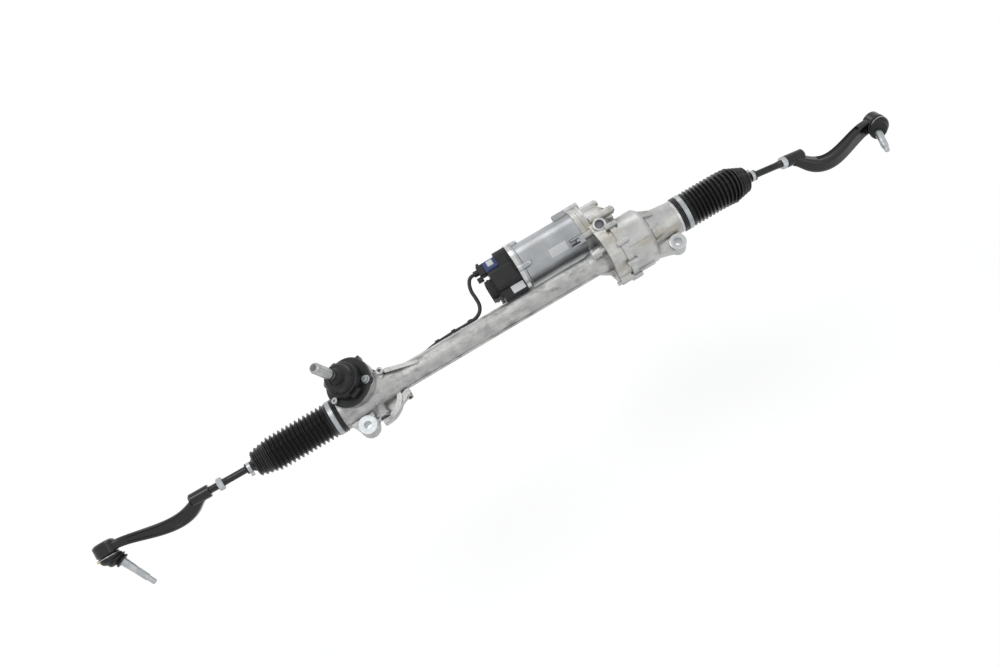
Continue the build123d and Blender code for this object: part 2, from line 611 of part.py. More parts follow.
def rack_housing():
    """Left casting: neck, pinion tower, yoke boss, left lug, long tube and the drive's flange."""
    left = -LEFT_NECK_END
    shoulder = left+NECK_LENGTH
    body = turned((left, 0), (left, NECK_R-1), (left+1, NECK_R), (shoulder, NECK_R),
                  (shoulder, BODY_R-1), (shoulder+8, BODY_R), (PINION_X+13, BODY_R-1), (PINION_X+37, 24),
                  (TUBE_START, TUBE_R), (TUBE_END, TUBE_R), (PLATE_LEFT, PLATE_R), (DRIVE_LEFT, PLATE_R),
                  (DRIVE_LEFT, 0))
    body += block(PINION_X+43, PLATE_LEFT, -FIN_R, FIN_R, -FIN_THICK/2, FIN_THICK/2)
    body += tower()+yoke_boss()+guard()
    body += lug(-LUG_X, LEFT_LUG_R, [(shoulder+7, -18, 6), (PINION_X+7, -10, 14)], LUG_THICK/2-BUSH_FLANGE_THICK)
    body += hull_x([(0, 0, PLATE_R), (-FOOT_REACH, 0, FOOT_R), (*FLANGE_SCREW, 7)], PLATE_LEFT, DRIVE_LEFT)
    web = Polyline((TUBE_END, 0), (TUBE_END+8, -FIN_R), (PLATE_LEFT, -30), (DRIVE_LEFT-2, -FOOT_REACH),
                   (DRIVE_LEFT-2, 0), close=True)
    body += Pos(0, 0, -4)*extrude(make_face(web), 8)
    collar = CASE_LEFT-42
    body += turned((collar-6, 0), (collar-4, TUBE_R+1), (collar+4, TUBE_R+1), (collar+6, 0))
    for angle in TUBE_RIB_ANGLES:
        rib = Polyline((PINION_X+29, 16), (PINION_X+29, 27), (PINION_X+61, 19.5), (PINION_X+61, 16), close=True)
        body += Rot(X=angle)*Pos(0, 0, -1.5)*extrude(make_face(rib), 3)
    body += hull_z([(TUBE_START+28, 6, 3), (PINION_X+47, 20, 4)], 0, TUBE_R+2.5)
    body += hull_z([(SMALL_BOSS_X, SMALL_BOSS_Y, SMALL_BOSS_R), (PINION_X+22, 14, 12)], 2, SMALL_BOSS_TOP-4)
    body += along_z(SMALL_BOSS_R, 2, SMALL_BOSS_TOP, SMALL_BOSS_X, SMALL_BOSS_Y)
    spigot, spigot_bore = breather()
    body += spigot
    body -= along_x(RACK_BORE_R, left-1, DRIVE_LEFT+1)
    body -= along_x(JOINT_BORE_R, left-1, STOP_CENTRE-STOP_HALF+STOP_THICK)
    body -= tower_bores()
    body -= ACROSS*Pos(YOKE_X, 0, 0)*Rot(X=90)*along_z(YOKE_R+RUNNING, 2, YOKE_PLUG_INNER)
    body -= ACROSS*Pos(YOKE_X, 0, 0)*Rot(X=90)*along_z(YOKE_R, YOKE_PLUG_INNER, YOKE_REACH+1)
    blind = along_z(SMALL_BOSS_R-3.2, SMALL_BOSS_TOP-7, SMALL_BOSS_TOP+1, SMALL_BOSS_X, SMALL_BOSS_Y)
    body -= [lug_bore(-LUG_X), spigot_bore, blind]
    body -= along_x(DRIVE_SCREW_R, PLATE_LEFT-1, DRIVE_LEFT+1, -FOOT_REACH, 0)
    body -= along_x(DRIVE_SCREW_R, PLATE_LEFT-1, DRIVE_LEFT+1, *FLANGE_SCREW)
    return body


def stop_rings():
    """Rubber rings that the inner joints meet at full lock."""
    rings = []
    for sign in (-1, 1):
        face = STOP_CENTRE+sign*STOP_HALF
        back = face-sign*STOP_THICK
        rings.append(ring_x(JOINT_BORE_R, RACK_R+LOOSE*2, min(face, back), max(face, back)))
    return rings


# Drive castings

def snout_form():
    """Tapering end round the motor's pulley, with slots that save weight."""
    joint = DRIVE_JOINT
    wide = SMALL_END_R+9
    form = turned((joint, 0), (joint, wide), (joint+5, wide), (joint+SNOUT_LENGTH, wide-SNOUT_TAPER),
                  (joint+SNOUT_LENGTH, 0))
    for angle in SNOUT_SLOT_ANGLES:
        form -= Rot(X=angle)*block(joint+11, joint+SNOUT_LENGTH+1, 11, wide-3, -3.5, 3.5)
    return form


def belt_housing():
    """Casting round the belt, from the tube's flange to the nut casting."""
    joint = DRIVE_JOINT
    body = hull_x([(0, 0, DRUM_R-1.5), (MOTOR_Y, MOTOR_Z, SMALL_END_R+11)], DRIVE_LEFT, joint)
    foot_end = DRIVE_LEFT+FOOT_LENGTH
    body += hull_x([(-FOOT_REACH, 0, FOOT_R), (-20, 0, 20)], DRIVE_LEFT, foot_end)
    body += along_x(ADAPTER_R, DRIVE_LEFT, DRIVE_LEFT+5, MOTOR_Y, MOTOR_Z)
    body += along_x(DRUM_R+2.5, joint-5, joint)
    snout = MOTOR*snout_form()
    for angle, end in SNOUT_SCREWS:
        snout += MOTOR*Rot(X=angle)*along_x(SNOUT_BOSS_R, DRIVE_LEFT+7, end, SNOUT_SCREW_REACH)
        snout += MOTOR*Rot(X=angle)*block(joint-1, end-6, 8, SNOUT_SCREW_REACH, -3.5, 3.5)
    body += snout-along_x(JOINT_SCREW_REACH+JOINT_BOSS_R+LOOSE, joint, joint+SNOUT_LENGTH+1)
    for y, z in round_points(JOINT_SCREW_REACH, JOINT_SCREW_ANGLES):
        body += along_x(JOINT_BOSS_R, joint-JOINT_BOSS-2, joint, y, z)
    for angle in MOTOR_SCREW_ANGLES:
        body += MOTOR*Rot(X=angle)*along_x(6.5, DRIVE_LEFT, DRIVE_LEFT+10, MOTOR_SCREW_REACH)
    body += along_z(12, 15, PORT_TOP, PORT_X, PORT_Y)
    body -= hull_x([(0, 0, BELT_CAVITY_R), (MOTOR_Y, MOTOR_Z, SMALL_END_R-4)], DRIVE_LEFT+3, joint+1)
    body -= along_x(ROTOR_SHAFT_R+2, joint, joint+8, MOTOR_Y, MOTOR_Z)
    body -= along_x(RACK_BORE_R, DRIVE_LEFT-1, DRIVE_LEFT+5)
    body -= along_x(ROTOR_SHAFT_R+8, DRIVE_LEFT-1, DRIVE_LEFT+5, MOTOR_Y, MOTOR_Z)
    body -= along_x(DRIVE_SCREW_R, DRIVE_LEFT-1, foot_end+1, -FOOT_REACH, 0)
    body -= along_x(FOOT_HEAD_R+LOOSE, foot_end, foot_end+FOOT_HEAD+LOOSE, -FOOT_REACH, 0)
    body -= along_x(DRIVE_SCREW_R, DRIVE_LEFT-1, DRIVE_LEFT+4, *FLANGE_SCREW)
    body -= along_z(PORT_R, 0, PORT_TOP+1, PORT_X, PORT_Y)
    body -= along_z(12, PORT_TOP, PORT_TOP+9, PORT_X, PORT_Y)
    for angle in MOTOR_SCREW_ANGLES:
        body -= MOTOR*Rot(X=angle)*along_x(SCREW_SHANK_R, DRIVE_LEFT-1, DRIVE_LEFT+4, MOTOR_SCREW_REACH)
    for angle, end in SNOUT_SCREWS:
        body -= MOTOR*Rot(X=angle)*along_x(SCREW_SHANK_R, end-12, end+1, SNOUT_SCREW_REACH)
    for y, z in round_points(JOINT_SCREW_REACH, JOINT_SCREW_ANGLES):
        body -= along_x(JOINT_SCREW_R, joint-9, joint+1, y, z)
    return body


def inspection_plug():
    """Shallow cup pressed into the belt casting's round port."""
    cup = upright((PORT_TOP-5, 0), (PORT_TOP-5, PORT_R), (PORT_TOP, PORT_R), (PORT_TOP, PORT_R+1.6),
                  (PORT_TOP+1.5, PORT_R+1.6), (PORT_TOP+1.5, PORT_R-1.4), (PORT_TOP-3, PORT_R-1.4),
                  (PORT_TOP-3, 0))
    return Pos(PORT_X, PORT_Y, 0)*cup


def nut_housing():
    """Right casting: drum round the ball nut, end tube, neck and right lug."""
    right = RIGHT_NECK_END
    shoulder = right-NECK_LENGTH
    body = turned((DRIVE_JOINT, 0), (DRIVE_JOINT, DRUM_R), (DRUM_END, DRUM_R), (DRUM_END+5, DRUM_R-4),
                  (DRUM_END+9, 37), (DRUM_END+18, 33.5), (shoulder-4, NECK_R+1.2), (shoulder, NECK_R+1.2),
                  (shoulder, NECK_R), (right-1, NECK_R), (right, NECK_R-1), (right, 0))
    body += block(DRIVE_JOINT, DRUM_END-9, -DRUM_R-2.5, -DRUM_R+6, -5, 5)
    body += along_x(DRUM_R+2.5, DRIVE_JOINT, DRIVE_JOINT+5)
    for y, z in round_points(JOINT_SCREW_REACH, JOINT_SCREW_ANGLES):
        body += along_x(JOINT_BOSS_R, DRIVE_JOINT, DRIVE_JOINT+JOINT_BOSS, y, z)
    for place in range(GUSSETS):
        rib = Polyline((DRUM_END+4, 30), (DRUM_END+4, 43), (DRUM_END+26, 33), (DRUM_END+26, 30), close=True)
        body += Rot(X=64+place*360/GUSSETS)*Pos(0, 0, -2)*extrude(make_face(rib), 4)
    body += Rot(X=-118)*block(DRIVE_JOINT, DRUM_END-2, -4, 4, DRUM_R-4, DRUM_R+3)
    body += Rot(X=28)*block(DRIVE_JOINT, DRUM_END-2, -4, 4, DRUM_R-4, DRUM_R+3)
    body += lug(LUG_X, RIGHT_LUG_R, [(DRUM_END+4, -34, 12), (DRUM_END+40, -10, 12)], LUG_THICK/2)
    body -= along_x(NUT_BEARING_R, DRIVE_JOINT-1, LOCK_RING_LEFT)
    body -= along_x(LOCK_RING_R, LOCK_RING_LEFT-0.01, DRUM_END-10)
    body -= along_x(NUT_R+7, DRUM_END-11, DRUM_END)
    body -= along_x(RACK_BORE_R+1.5, DRUM_END-1, right)
    body -= along_x(JOINT_BORE_R, STOP_CENTRE+STOP_HALF-STOP_THICK, right+1)
    body -= lug_bore(LUG_X)
    for y, z in round_points(JOINT_SCREW_REACH, JOINT_SCREW_ANGLES):
        body -= along_x(JOINT_SCREW_R, DRIVE_JOINT-1, DRIVE_JOINT+10, y, z)
        body -= along_x(JOINT_HEAD_R+LOOSE, DRIVE_JOINT+JOINT_BOSS, DRIVE_JOINT+JOINT_BOSS+3, y, z)
    return body


def nut_bearing():
    """Large bearing that carries the ball nut, and the ring that holds it in the drum."""
    bearing = ring_x(NUT_BEARING_R, NUT_BEARING_BORE_R+RUNNING, NUT_BEARING_LEFT, LOCK_RING_LEFT)
    lock_ring = ring_x(LOCK_RING_R, NUT_BEARING_BORE_R+5, LOCK_RING_LEFT, LOCK_RING_LEFT+6)
    return [bearing, lock_ring]


def ball_nut():
    """Nut on the rack's screw, with lips at both ends and a track bore for the balls."""
    collar_r = NUT_BEARING_BORE_R+2
    nut = turned((NUT_LEFT, 0), (NUT_LEFT, NUT_R), (NUT_BEARING_LEFT-2, NUT_R), (NUT_BEARING_LEFT-2, collar_r),
                 (NUT_BEARING_LEFT, collar_r), (NUT_BEARING_LEFT, NUT_BEARING_BORE_R),
                 (LOCK_RING_LEFT, NUT_BEARING_BORE_R), (LOCK_RING_LEFT+3, NUT_R), (NUT_RIGHT, NUT_R),
                 (NUT_RIGHT, 0))
    nut -= along_x(RACK_R+LOOSE, NUT_LEFT-1, NUT_RIGHT+1)
    return nut-along_x(ball_path_r()+DRIVE_BALL_R+RUNNING, BALLS_LEFT-6, BALLS_RIGHT+6)


def ball_path_r():
    return SCREW_ROOT_R+RUNNING+DRIVE_BALL_R


def recirculating_balls():
    """Balls in the nut, on the turns of the screw's helix."""
    balls = []
    for start in (BALLS_LEFT, BALLS_RIGHT-BALL_SCREW_LEAD):
        for place in range(BALLS_PER_TURN):
            share = place/BALLS_PER_TURN
            turn = share*2*math.pi
            across, up = ball_path_r()*math.cos(turn), ball_path_r()*math.sin(turn)
            balls.append(Pos(start+share*BALL_SCREW_LEAD, across, up)*Sphere(DRIVE_BALL_R))
    return balls


def pulley(teeth, bore_r, left, right):
    """A toothed pulley along X; its teeth stay under the belt."""
    tip_r = BELT_PITCH*teeth/2/math.pi-LOOSE
    points = []
    for tooth in range(teeth):
        for share, depth in ((0.05, 0.0), (0.45, 0.0), (0.55, 1.0), (0.95, 1.0)):
            turn = (tooth+share)*2*math.pi/teeth
            points.append(((tip_r-depth)*math.cos(turn), (tip_r-depth)*math.sin(turn)))
    rim = Pos(left, 0, 0)*ALONG_X*extrude(make_face(Polyline(*points, close=True)), right-left)
    rim += along_x(tip_r+LOOSE, left-1.5, left)+along_x(tip_r+LOOSE, right, right+1.5)
    return rim-along_x(bore_r, left-5, right+5)


def large_pulley():
    left = BELT_CENTRE-BELT_WIDTH/2-0.5
    return pulley(LARGE_PULLEY_TEETH, NUT_R+PRESS, left, left+BELT_WIDTH+1)


def small_pulley():
    left = BELT_CENTRE-BELT_WIDTH/2-0.5
    return MOTOR*pulley(SMALL_PULLEY_TEETH, ROTOR_SHAFT_R+PRESS, left, left+BELT_WIDTH+1)


def toothed_belt():
    """Belt round both pulleys."""
    left, right = BELT_CENTRE-BELT_WIDTH/2, BELT_CENTRE+BELT_WIDTH/2
    large, small = LARGE_PULLEY_R, SMALL_PULLEY_R
    inner = hull_x([(0, 0, large), (MOTOR_Y, MOTOR_Z, small)], left-1, right+1)
    large, small = large+BELT_THICK, small+BELT_THICK
    return hull_x([(0, 0, large), (MOTOR_Y, MOTOR_Z, small)], left, right)-inner


# Motor and control unit

def motor_housing():
    """Aluminium can of the motor, with its screw bosses."""
    can = turned((MOTOR_LEFT, 0), (MOTOR_LEFT, MOTOR_R+3), (MOTOR_LEFT+4, MOTOR_R+3), (MOTOR_LEFT+6, MOTOR_R),
                 (MOTOR_RIGHT, MOTOR_R), (MOTOR_RIGHT, 0))
    half = MOTOR_PAD_HALF
    for angle in MOTOR_SCREW_ANGLES:
        can += Rot(X=angle)*block(MOTOR_PAD_LEFT, MOTOR_RIGHT, MOTOR_R-4, MOTOR_PAD_R, -half, half)
        trough = along_x(MOTOR_HEAD_R, MOTOR_PAD_LEFT-1, MOTOR_HEAD_LEFT, MOTOR_SCREW_REACH)
        trough += block(MOTOR_PAD_LEFT-1, MOTOR_HEAD_LEFT, MOTOR_SCREW_REACH, MOTOR_PAD_R+1,
                        -MOTOR_HEAD_R, MOTOR_HEAD_R)
        hole = along_x(SCREW_SHANK_R, MOTOR_HEAD_LEFT-1, MOTOR_RIGHT+1, MOTOR_SCREW_REACH)
        can -= Rot(X=angle)*(trough+hole)
    for angle in BASE_SCREW_ANGLES:
        can += Rot(X=angle)*along_x(5.5, MOTOR_LEFT, MOTOR_LEFT+14, MOTOR_R+1)
    can -= along_x(STATOR_R, MOTOR_LEFT-1, MOTOR_RIGHT+1)
    for angle in BASE_SCREW_ANGLES:
        can -= Rot(X=angle)*along_x(2.0, MOTOR_LEFT-1, MOTOR_LEFT+15, MOTOR_R+2)
        can -= Rot(X=angle)*along_x(4.0, MOTOR_LEFT+14, MOTOR_LEFT+20, MOTOR_R+2)
    return MOTOR*can


def motor_end_shield():
    """Ring between the can and the belt casting, with the bearing's seat."""
    outer = turned((MOTOR_RIGHT, 0), (MOTOR_RIGHT, ADAPTER_R-1), (MOTOR_RIGHT+1, ADAPTER_R),
                   (DRIVE_LEFT-5, ADAPTER_R), (DRIVE_LEFT-4, ADAPTER_R-1), (DRIVE_LEFT, ADAPTER_R-1),
                   (DRIVE_LEFT, 0))
    for angle in MOTOR_SCREW_ANGLES:
        outer += Rot(X=angle)*along_x(6.5, MOTOR_RIGHT, DRIVE_LEFT, MOTOR_SCREW_REACH)
        outer -= Rot(X=angle)*along_x(SCREW_SHANK_R, MOTOR_RIGHT-1, DRIVE_LEFT+1, MOTOR_SCREW_REACH)
    outer -= along_x(MOTOR_BEARING_R, MOTOR_RIGHT+3, DRIVE_LEFT-3)
    outer -= along_x(ROTOR_SHAFT_R+2, MOTOR_RIGHT-1, DRIVE_LEFT+1)
    return MOTOR*outer-along_x(PLATE_R+LOOSE, MOTOR_RIGHT-1, DRIVE_LEFT+1)


def motor_bearings():
    """Ball bearings of the rotor."""
    right = ring_x(MOTOR_BEARING_R, ROTOR_SHAFT_R+RUNNING, MOTOR_RIGHT+3, DRIVE_LEFT-3)
    left = ring_x(MOTOR_BEARING_R, ROTOR_SHAFT_R+RUNNING, BASE_LEFT+4, MOTOR_LEFT)
    return [MOTOR*right, MOTOR*left]


def motor_stator():
    """Laminated ring with teeth that face the rotor."""
    stator = ring_x(STATOR_R, STATOR_R-7, STATOR_LEFT, STATOR_RIGHT)
    for place in range(STATOR_TEETH):
        tooth = block(STATOR_LEFT, STATOR_RIGHT, ROTOR_R+1.5, STATOR_R-6.5, -3, 3)
        stator += Rot(X=place*360/STATOR_TEETH)*tooth
    return MOTOR*(stator-along_x(ROTOR_R+1, STATOR_LEFT-1, STATOR_RIGHT+1))


def motor_rotor():
    """Rotor with its shaft, which carries the small pulley."""
    shaft = along_x(ROTOR_SHAFT_R, BASE_LEFT+4, BELT_CENTRE+BELT_WIDTH/2+4)
    return MOTOR*(shaft+along_x(ROTOR_R, STATOR_LEFT, STATOR_RIGHT))


def control_unit_base():
    """Aluminium plate between the motor and the control unit, with screw ears."""
    plate = along_x(MOTOR_R+3.5, BASE_LEFT, MOTOR_LEFT)
    plate += hull_x([(10, -30, 8), (-42, 28, 5), (-42, -20, 5)], BASE_LEFT, MOTOR_LEFT)
    for angle in BASE_SCREW_ANGLES:
        plate += Rot(X=angle)*along_x(5.5, BASE_LEFT, MOTOR_LEFT, MOTOR_R+2)
    for angle in BASE_SCREW_ANGLES:
        plate -= Rot(X=angle)*along_x(2.0, BASE_LEFT-1, MOTOR_LEFT+1, MOTOR_R+2)
    plate -= along_x(MOTOR_BEARING_R, BASE_LEFT+4, MOTOR_LEFT+1)
    return MOTOR*plate-along_x(FIN_R+0.5, BASE_LEFT-1, MOTOR_LEFT+1)


def case_profile(y0, y1, z0, z1, corner, grow=0.0):
    """A rounded outline across X, drawn in the (y, z) plane."""
    width = y1-y0+2*grow
    height = z1-z0+2*grow
    return Pos((y0+y1)/2, (z0+z1)/2)*RectangleRounded(width, height, corner+grow)


def drawn_x(profile, start, stop):
    """A (y, z) outline drawn out along X."""
    return Pos(start, 0, 0)*ALONG_X*extrude(profile, stop-start)


def case_block(y0, y1, z0, z1, corner, left, wall=0.0):
    """One block of the case; a wall thickness gives the room inside it."""
    return drawn_x(case_profile(y0, y1, z0, z1, corner, -wall), left+wall, BASE_LEFT+wall)


def case_form(wall=0.0):
    """The case's stepped form, which leaves room for the rack's tube beside it."""
    low = CASE_LOW_Y
    form = case_block(low+20, CASE_STEP_Y, CASE_BOTTOM, CASE_TOP, 9, CASE_LEFT, wall)
    form += case_block(CASE_STEP_Y-20, CASE_HIGH_Y, CASE_BOTTOM+14, CASE_TOP-4, 14, CASE_STEP_X, wall)
    form += case_block(low, low+26+wall, CASE_BOTTOM+10, CASE_TOP-7, 6, CASE_LEFT+3, wall)
    return form-along_x(FIN_R+0.8+wall, CASE_LEFT-1, BASE_LEFT+1+wall)


def control_unit_case():
    """Black plastic case, stepped where the connectors sit."""
    rim = MOTOR*ring_x(MOTOR_R+3.2, MOTOR_R-1, BASE_LEFT-4, BASE_LEFT)
    return case_form()+(rim-along_x(FIN_R+0.8, CASE_LEFT-1, BASE_LEFT+1))-case_form(CASE_WALL)


def circuit_board():
    """Board of the control unit, on the base plate's posts."""
    board = block(BASE_LEFT-14, BASE_LEFT-12, CASE_LOW_Y+26, CASE_STEP_Y-6, CASE_BOTTOM+8, CASE_TOP-6)
    for y in (CASE_LOW_Y+32, CASE_STEP_Y-12):
        for z in (CASE_BOTTOM+14, CASE_TOP-14):
            board += along_x(2.5, BASE_LEFT-12, BASE_LEFT, y, z)
    return board+block(BASE_LEFT-17, BASE_LEFT-14, 52, 66, -30, -16)


def power_header():
    """Round-cornered connector shroud with two blades inside."""
    left = CASE_LEFT-HEADER_OUT
    outline = (*HEADER_Y, *HEADER_Z, 11)
    shroud = drawn_x(case_profile(*outline), left, CASE_LEFT)
    shroud -= drawn_x(case_profile(*outline, -2.2), left-1, CASE_LEFT-2.5)
    shroud += drawn_x(case_profile(*outline, 1.4), left+5, left+8)
    shroud -= drawn_x(case_profile(*outline, -2.2), left+4, left+9)
    for y in (46, 60):
        shroud += block(left+2, CASE_LEFT-2, y-0.6, y+0.6, -16, 1)
    return shroud


def signal_connector():
    """Blue connector at the case's step, with its latch rib."""
    y0, y1 = SIGNAL_Y
    z0, z1 = SIGNAL_Z
    shell = drawn_x(case_profile(y0, y1, z0, z1, 3), CASE_LEFT, CASE_STEP_X)
    shell += block(CASE_LEFT+4, CASE_STEP_X, y0+3, y0+8, z1-1, z1+1.6)
    return shell


def connector_backshell():
    """Black plug behind the blue connector, with its lever and the lead's outlet."""
    y0, y1 = SIGNAL_Y
    shell = drawn_x(case_profile(y0+1, y1+1, -8, 9, 3), CASE_LEFT-12, CASE_LEFT)
    shell += block(CASE_LEFT-10, CASE_LEFT-5, y1, y1+5, -6, 6)
    shell += drawn_x(case_profile(y0-5, y0+3, -4, 6, 2), CASE_LEFT-20, CASE_LEFT-10)
    outlet = along_x(CABLE_R+2.2, CASE_LEFT-20, CASE_LEFT-11, CABLE_POINTS[0][1], CABLE_POINTS[0][2])
    return shell+outlet-along_x(CABLE_R, CABLE_POINTS[0][0]-10, CABLE_POINTS[0][0], *CABLE_POINTS[0][1:])


def cable_radii():
    """One bend radius for each inner point, as large as its two runs allow."""
    points = [Vector(*point) for point in CABLE_POINTS]
    radii = []
    for before, here, after in zip(points, points[1:], points[2:]):
        turn = math.radians((here-before).get_angle(after-here))
        run = min((here-before).length, (after-here).length)
        radii.append(0.45*run/math.tan(turn/2))
    return radii


def sensor_cable():
    """Lead from the control unit's plug along the tube to the torque sensor."""
    route = FilletPolyline(*CABLE_POINTS, radius=cable_radii())
    start = Plane(origin=route@0, z_dir=route%0)
    return sweep(start*Circle(CABLE_R), path=route.wire())


def sensor_plug():
    """Plug of the lead at the tower."""
    end = Vector(*CABLE_POINTS[-1])
    heading = end-Vector(*CABLE_POINTS[-2])
    place = Location(Plane(origin=end, z_dir=heading))
    return place*(along_z(CABLE_R+2.5, 0, 8)+Pos(0, 0, 13)*Box(16, 13, 10))


def cable_clips():
    """Clips that hold the lead against the tube's fin."""
    clips = []
    for station in CLIP_STATIONS:
        centre_y, centre_z = cable_place(station)
        loop = along_x(CABLE_R+1.6, station-4, station+4, centre_y, centre_z)
        foot = block(station-4, station+4, TUBE_R-3, centre_y, centre_z-2, centre_z+2)
        clip = loop+foot-sensor_cable()
        clips.append(clip-along_x(TUBE_R+0.02, station-5, station+5)-block(
            station-5, station+5, 0, FIN_R+0.02, -FIN_THICK/2-0.02, FIN_THICK))
    return clips


def cable_place(station):
    """The lead's (y, z) at a station along the tube."""
    for (x0, y0, z0), (x1, y1, z1) in zip(CABLE_POINTS, CABLE_POINTS[1:]):
        if x1 <= station <= x0:
            share = (station-x0)/(x1-x0)
            return y0+(y1-y0)*share, z0+(z1-z0)*share
    return CABLE_POINTS[-1][1:]


def housing_screws():
    """Screws that hold the drive's castings, the motor and the control unit."""
    screws = []
    for y, z in round_points(JOINT_SCREW_REACH, JOINT_SCREW_ANGLES):
        place = Pos(DRIVE_JOINT+JOINT_BOSS, y, z)*Rot(Y=90)
        screws.append(place*screw(JOINT_HEAD_R, 2.6, JOINT_SCREW_R, 2*JOINT_BOSS))
    for angle in MOTOR_SCREW_ANGLES:
        place = MOTOR*Rot(X=angle)*Pos(MOTOR_HEAD_LEFT, MOTOR_SCREW_REACH, 0)*Rot(Y=-90)
        screws.append(place*screw(MOTOR_HEAD_R-LOOSE, 4, SCREW_SHANK_R, DRIVE_LEFT+4-MOTOR_HEAD_LEFT))
    for angle, end in SNOUT_SCREWS:
        place = MOTOR*Rot(X=angle)*Pos(end, SNOUT_SCREW_REACH, 0)*Rot(Y=90)
        screws.append(place*screw(5.0, 3, SCREW_SHANK_R, 11))
    for angle in BASE_SCREW_ANGLES:
        place = MOTOR*Rot(X=angle)*Pos(MOTOR_LEFT+14, MOTOR_R+2, 0)*Rot(Y=90)
        screws.append(place*screw(3.6, 3.5, 2.0, 19))
    foot = Pos(DRIVE_LEFT+FOOT_LENGTH, -FOOT_REACH, 0)*Rot(Y=90)
    screws.append(foot*screw(FOOT_HEAD_R, FOOT_HEAD, DRIVE_SCREW_R, FOOT_LENGTH+7))
    screws.append(Pos(PLATE_LEFT, *FLANGE_SCREW)*Rot(Y=-90)*screw(5.8, 5, DRIVE_SCREW_R, 10.8))
    return screws


# Bellows, clamps and inner joints

def cone_between(lower, radius0, upper, radius1):
    """A tapered solid between two circles whose planes may be turned to each other."""
    return loft([lower*Circle(radius0), upper*Circle(radius1)])


def bellows_shape(side, grow):
    """The bellows' outer form, or its inner one when grow is negative, in the end's frame."""
    shoulder = side.neck_end-NECK_LENGTH
    straight_end = side.ball_out()+14
    rod = Pos(side.ball_out(), 0, 0)*Rot(Z=side.yaw)*Rot(Y=side.droop)
    big = Plane(Location(Pos(straight_end, 0, 0)*Rot(Y=90)))
    mid = Plane(Location(rod*Pos(side.small_cuff_out-15.5, 0, 0)*Rot(Y=90)))
    small = Plane(Location(rod*Pos(side.small_cuff_out-SMALL_CUFF_LENGTH/2, 0, 0)*Rot(Y=90)))
    cuff = NECK_R+CUFF_WALL if grow >= 0 else NECK_R
    wide = BELLOWS_R if grow >= 0 else NECK_R
    shape = along_x(cuff, shoulder+0.5-(0 if grow >= 0 else 2), side.neck_end+4)
    shape += along_x(wide, side.neck_end+1 if grow < 0 else side.neck_end+3, straight_end)
    shape += cone_between(big, wide, mid, 23.5+grow)+cone_between(mid, 23.5+grow, small, ROD_R+2.2+grow)
    reach = 1 if grow < 0 else 0
    shape += rod*along_x(ROD_R+2.2+grow, side.small_cuff_out-SMALL_CUFF_LENGTH/2-0.01,
                         side.small_cuff_out+SMALL_CUFF_LENGTH/2+reach)
    return shape


def bellows(side):
    """Rubber bellows as a plain sleeve of the right size, from the neck to the tie rod."""
    return side.end_frame()*(bellows_shape(side, 0)-bellows_shape(side, -1.9))


def clamp_ring(inner, width, ear):
    """A clamp band round X with the ear that was pinched to close it."""
    band = ring_x(inner+CLAMP_THICK, inner, -width/2, width/2)
    pinch = block(-width/2, width/2, -2.5, 2.5, inner+CLAMP_THICK-0.3, inner+ear)
    return band+pinch


def large_clamp(side):
    centre = side.neck_end-CLAMP_WIDTH
    return side.end_frame()*Pos(centre, 0, 0)*Rot(X=LARGE_EAR_TURN)*clamp_ring(NECK_R+CUFF_WALL, CLAMP_WIDTH, 4)


def small_clamp(side):
    place = side.rod_frame()*Pos(side.small_cuff_out, 0, 0)*Rot(X=-side.roll+SMALL_EAR_TURN)
    return place*clamp_ring(ROD_R+2.2, 6, 7)


def inner_joint(side):
    """Joint housing screwed into the rack's end, with wrench flats and the ball's mouth."""
    face = 0
    mouth = INNER_BALL_OUT+7
    body = turned((face, 0), (face, JOINT_R-1.5), (1.5, JOINT_R), (24, JOINT_R), (mouth-3, JOINT_R-2.5), (mouth, JOINT_R-4),
                  (mouth, 0))
    body += along_x(JOINT_STUD_R-PRESS, -JOINT_STUD, face)
    for sign in (-1, 1):
        body -= block(6, 16, min(sign*14.5, sign*20), max(sign*14.5, sign*20), -20, 20)
    body -= Pos(INNER_BALL_OUT, 0, 0)*Sphere(INNER_BALL_R+SEAT_WALL)
    body -= turned((INNER_BALL_OUT+2, 0), (INNER_BALL_OUT+2, 10.2), (mouth+1, 12.6), (mouth+1, 0))
    start = RACK_HALF+(RACK_MIDDLE if side.turn == 0 else -RACK_MIDDLE)
    return side.end_frame()*Pos(start, 0, 0)*body


def inner_seat(side):
    """Plastic seat round the inner ball; it is a part of a sphere, open to the rod."""
    shell = Sphere(INNER_BALL_R+SEAT_WALL-RUNNING/2)-Sphere(INNER_BALL_R+RUNNING/2)
    shell -= block(3.5, 20, -20, 20, -20, 20)
    return side.end_frame()*Pos(side.ball_out(), 0, 0)*shell


def inner_tie_rod(side):
    """Tie rod with its ball, wrench flats and the thread's length inside the sleeve."""
    end = side.reach-SLEEVE_TO_BALL+THREAD_GRIP
    rod = Sphere(INNER_BALL_R)+turned((0, 0), (0, ROD_NECK_R), (24, ROD_NECK_R), (30, ROD_R), (end-1, ROD_R),
                                      (end, ROD_R-1), (end, 0))
    for sign in (-1, 1):
        rod -= block(side.small_cuff_out+18, side.small_cuff_out+38, min(sign*5, sign*9), max(sign*5, sign*9), -9, 9)
    return side.rod_frame()*Rot(X=side.hand*35)*rod


def lock_nut(side):
    """Hexagon nut that locks the tie rod in its end."""
    start = side.reach-SLEEVE_TO_BALL-side.bare_thread-NUT_THICK
    nut = Rot(Y=90)*extrude(RegularPolygon(NUT_FLATS/2, 6, major_radius=False), NUT_THICK)
    nut &= turned((0, 0), (0, NUT_FLATS/2), (1.6, NUT_FLATS/2*1.16), (NUT_THICK-1.6, NUT_FLATS/2*1.16),
                  (NUT_THICK, NUT_FLATS/2), (NUT_THICK, 0))
    nut -= along_x(ROD_R+PRESS, -1, NUT_THICK+1)
    return side.rod_frame()*Pos(start, 0, 0)*nut


# Outer tie rod ends

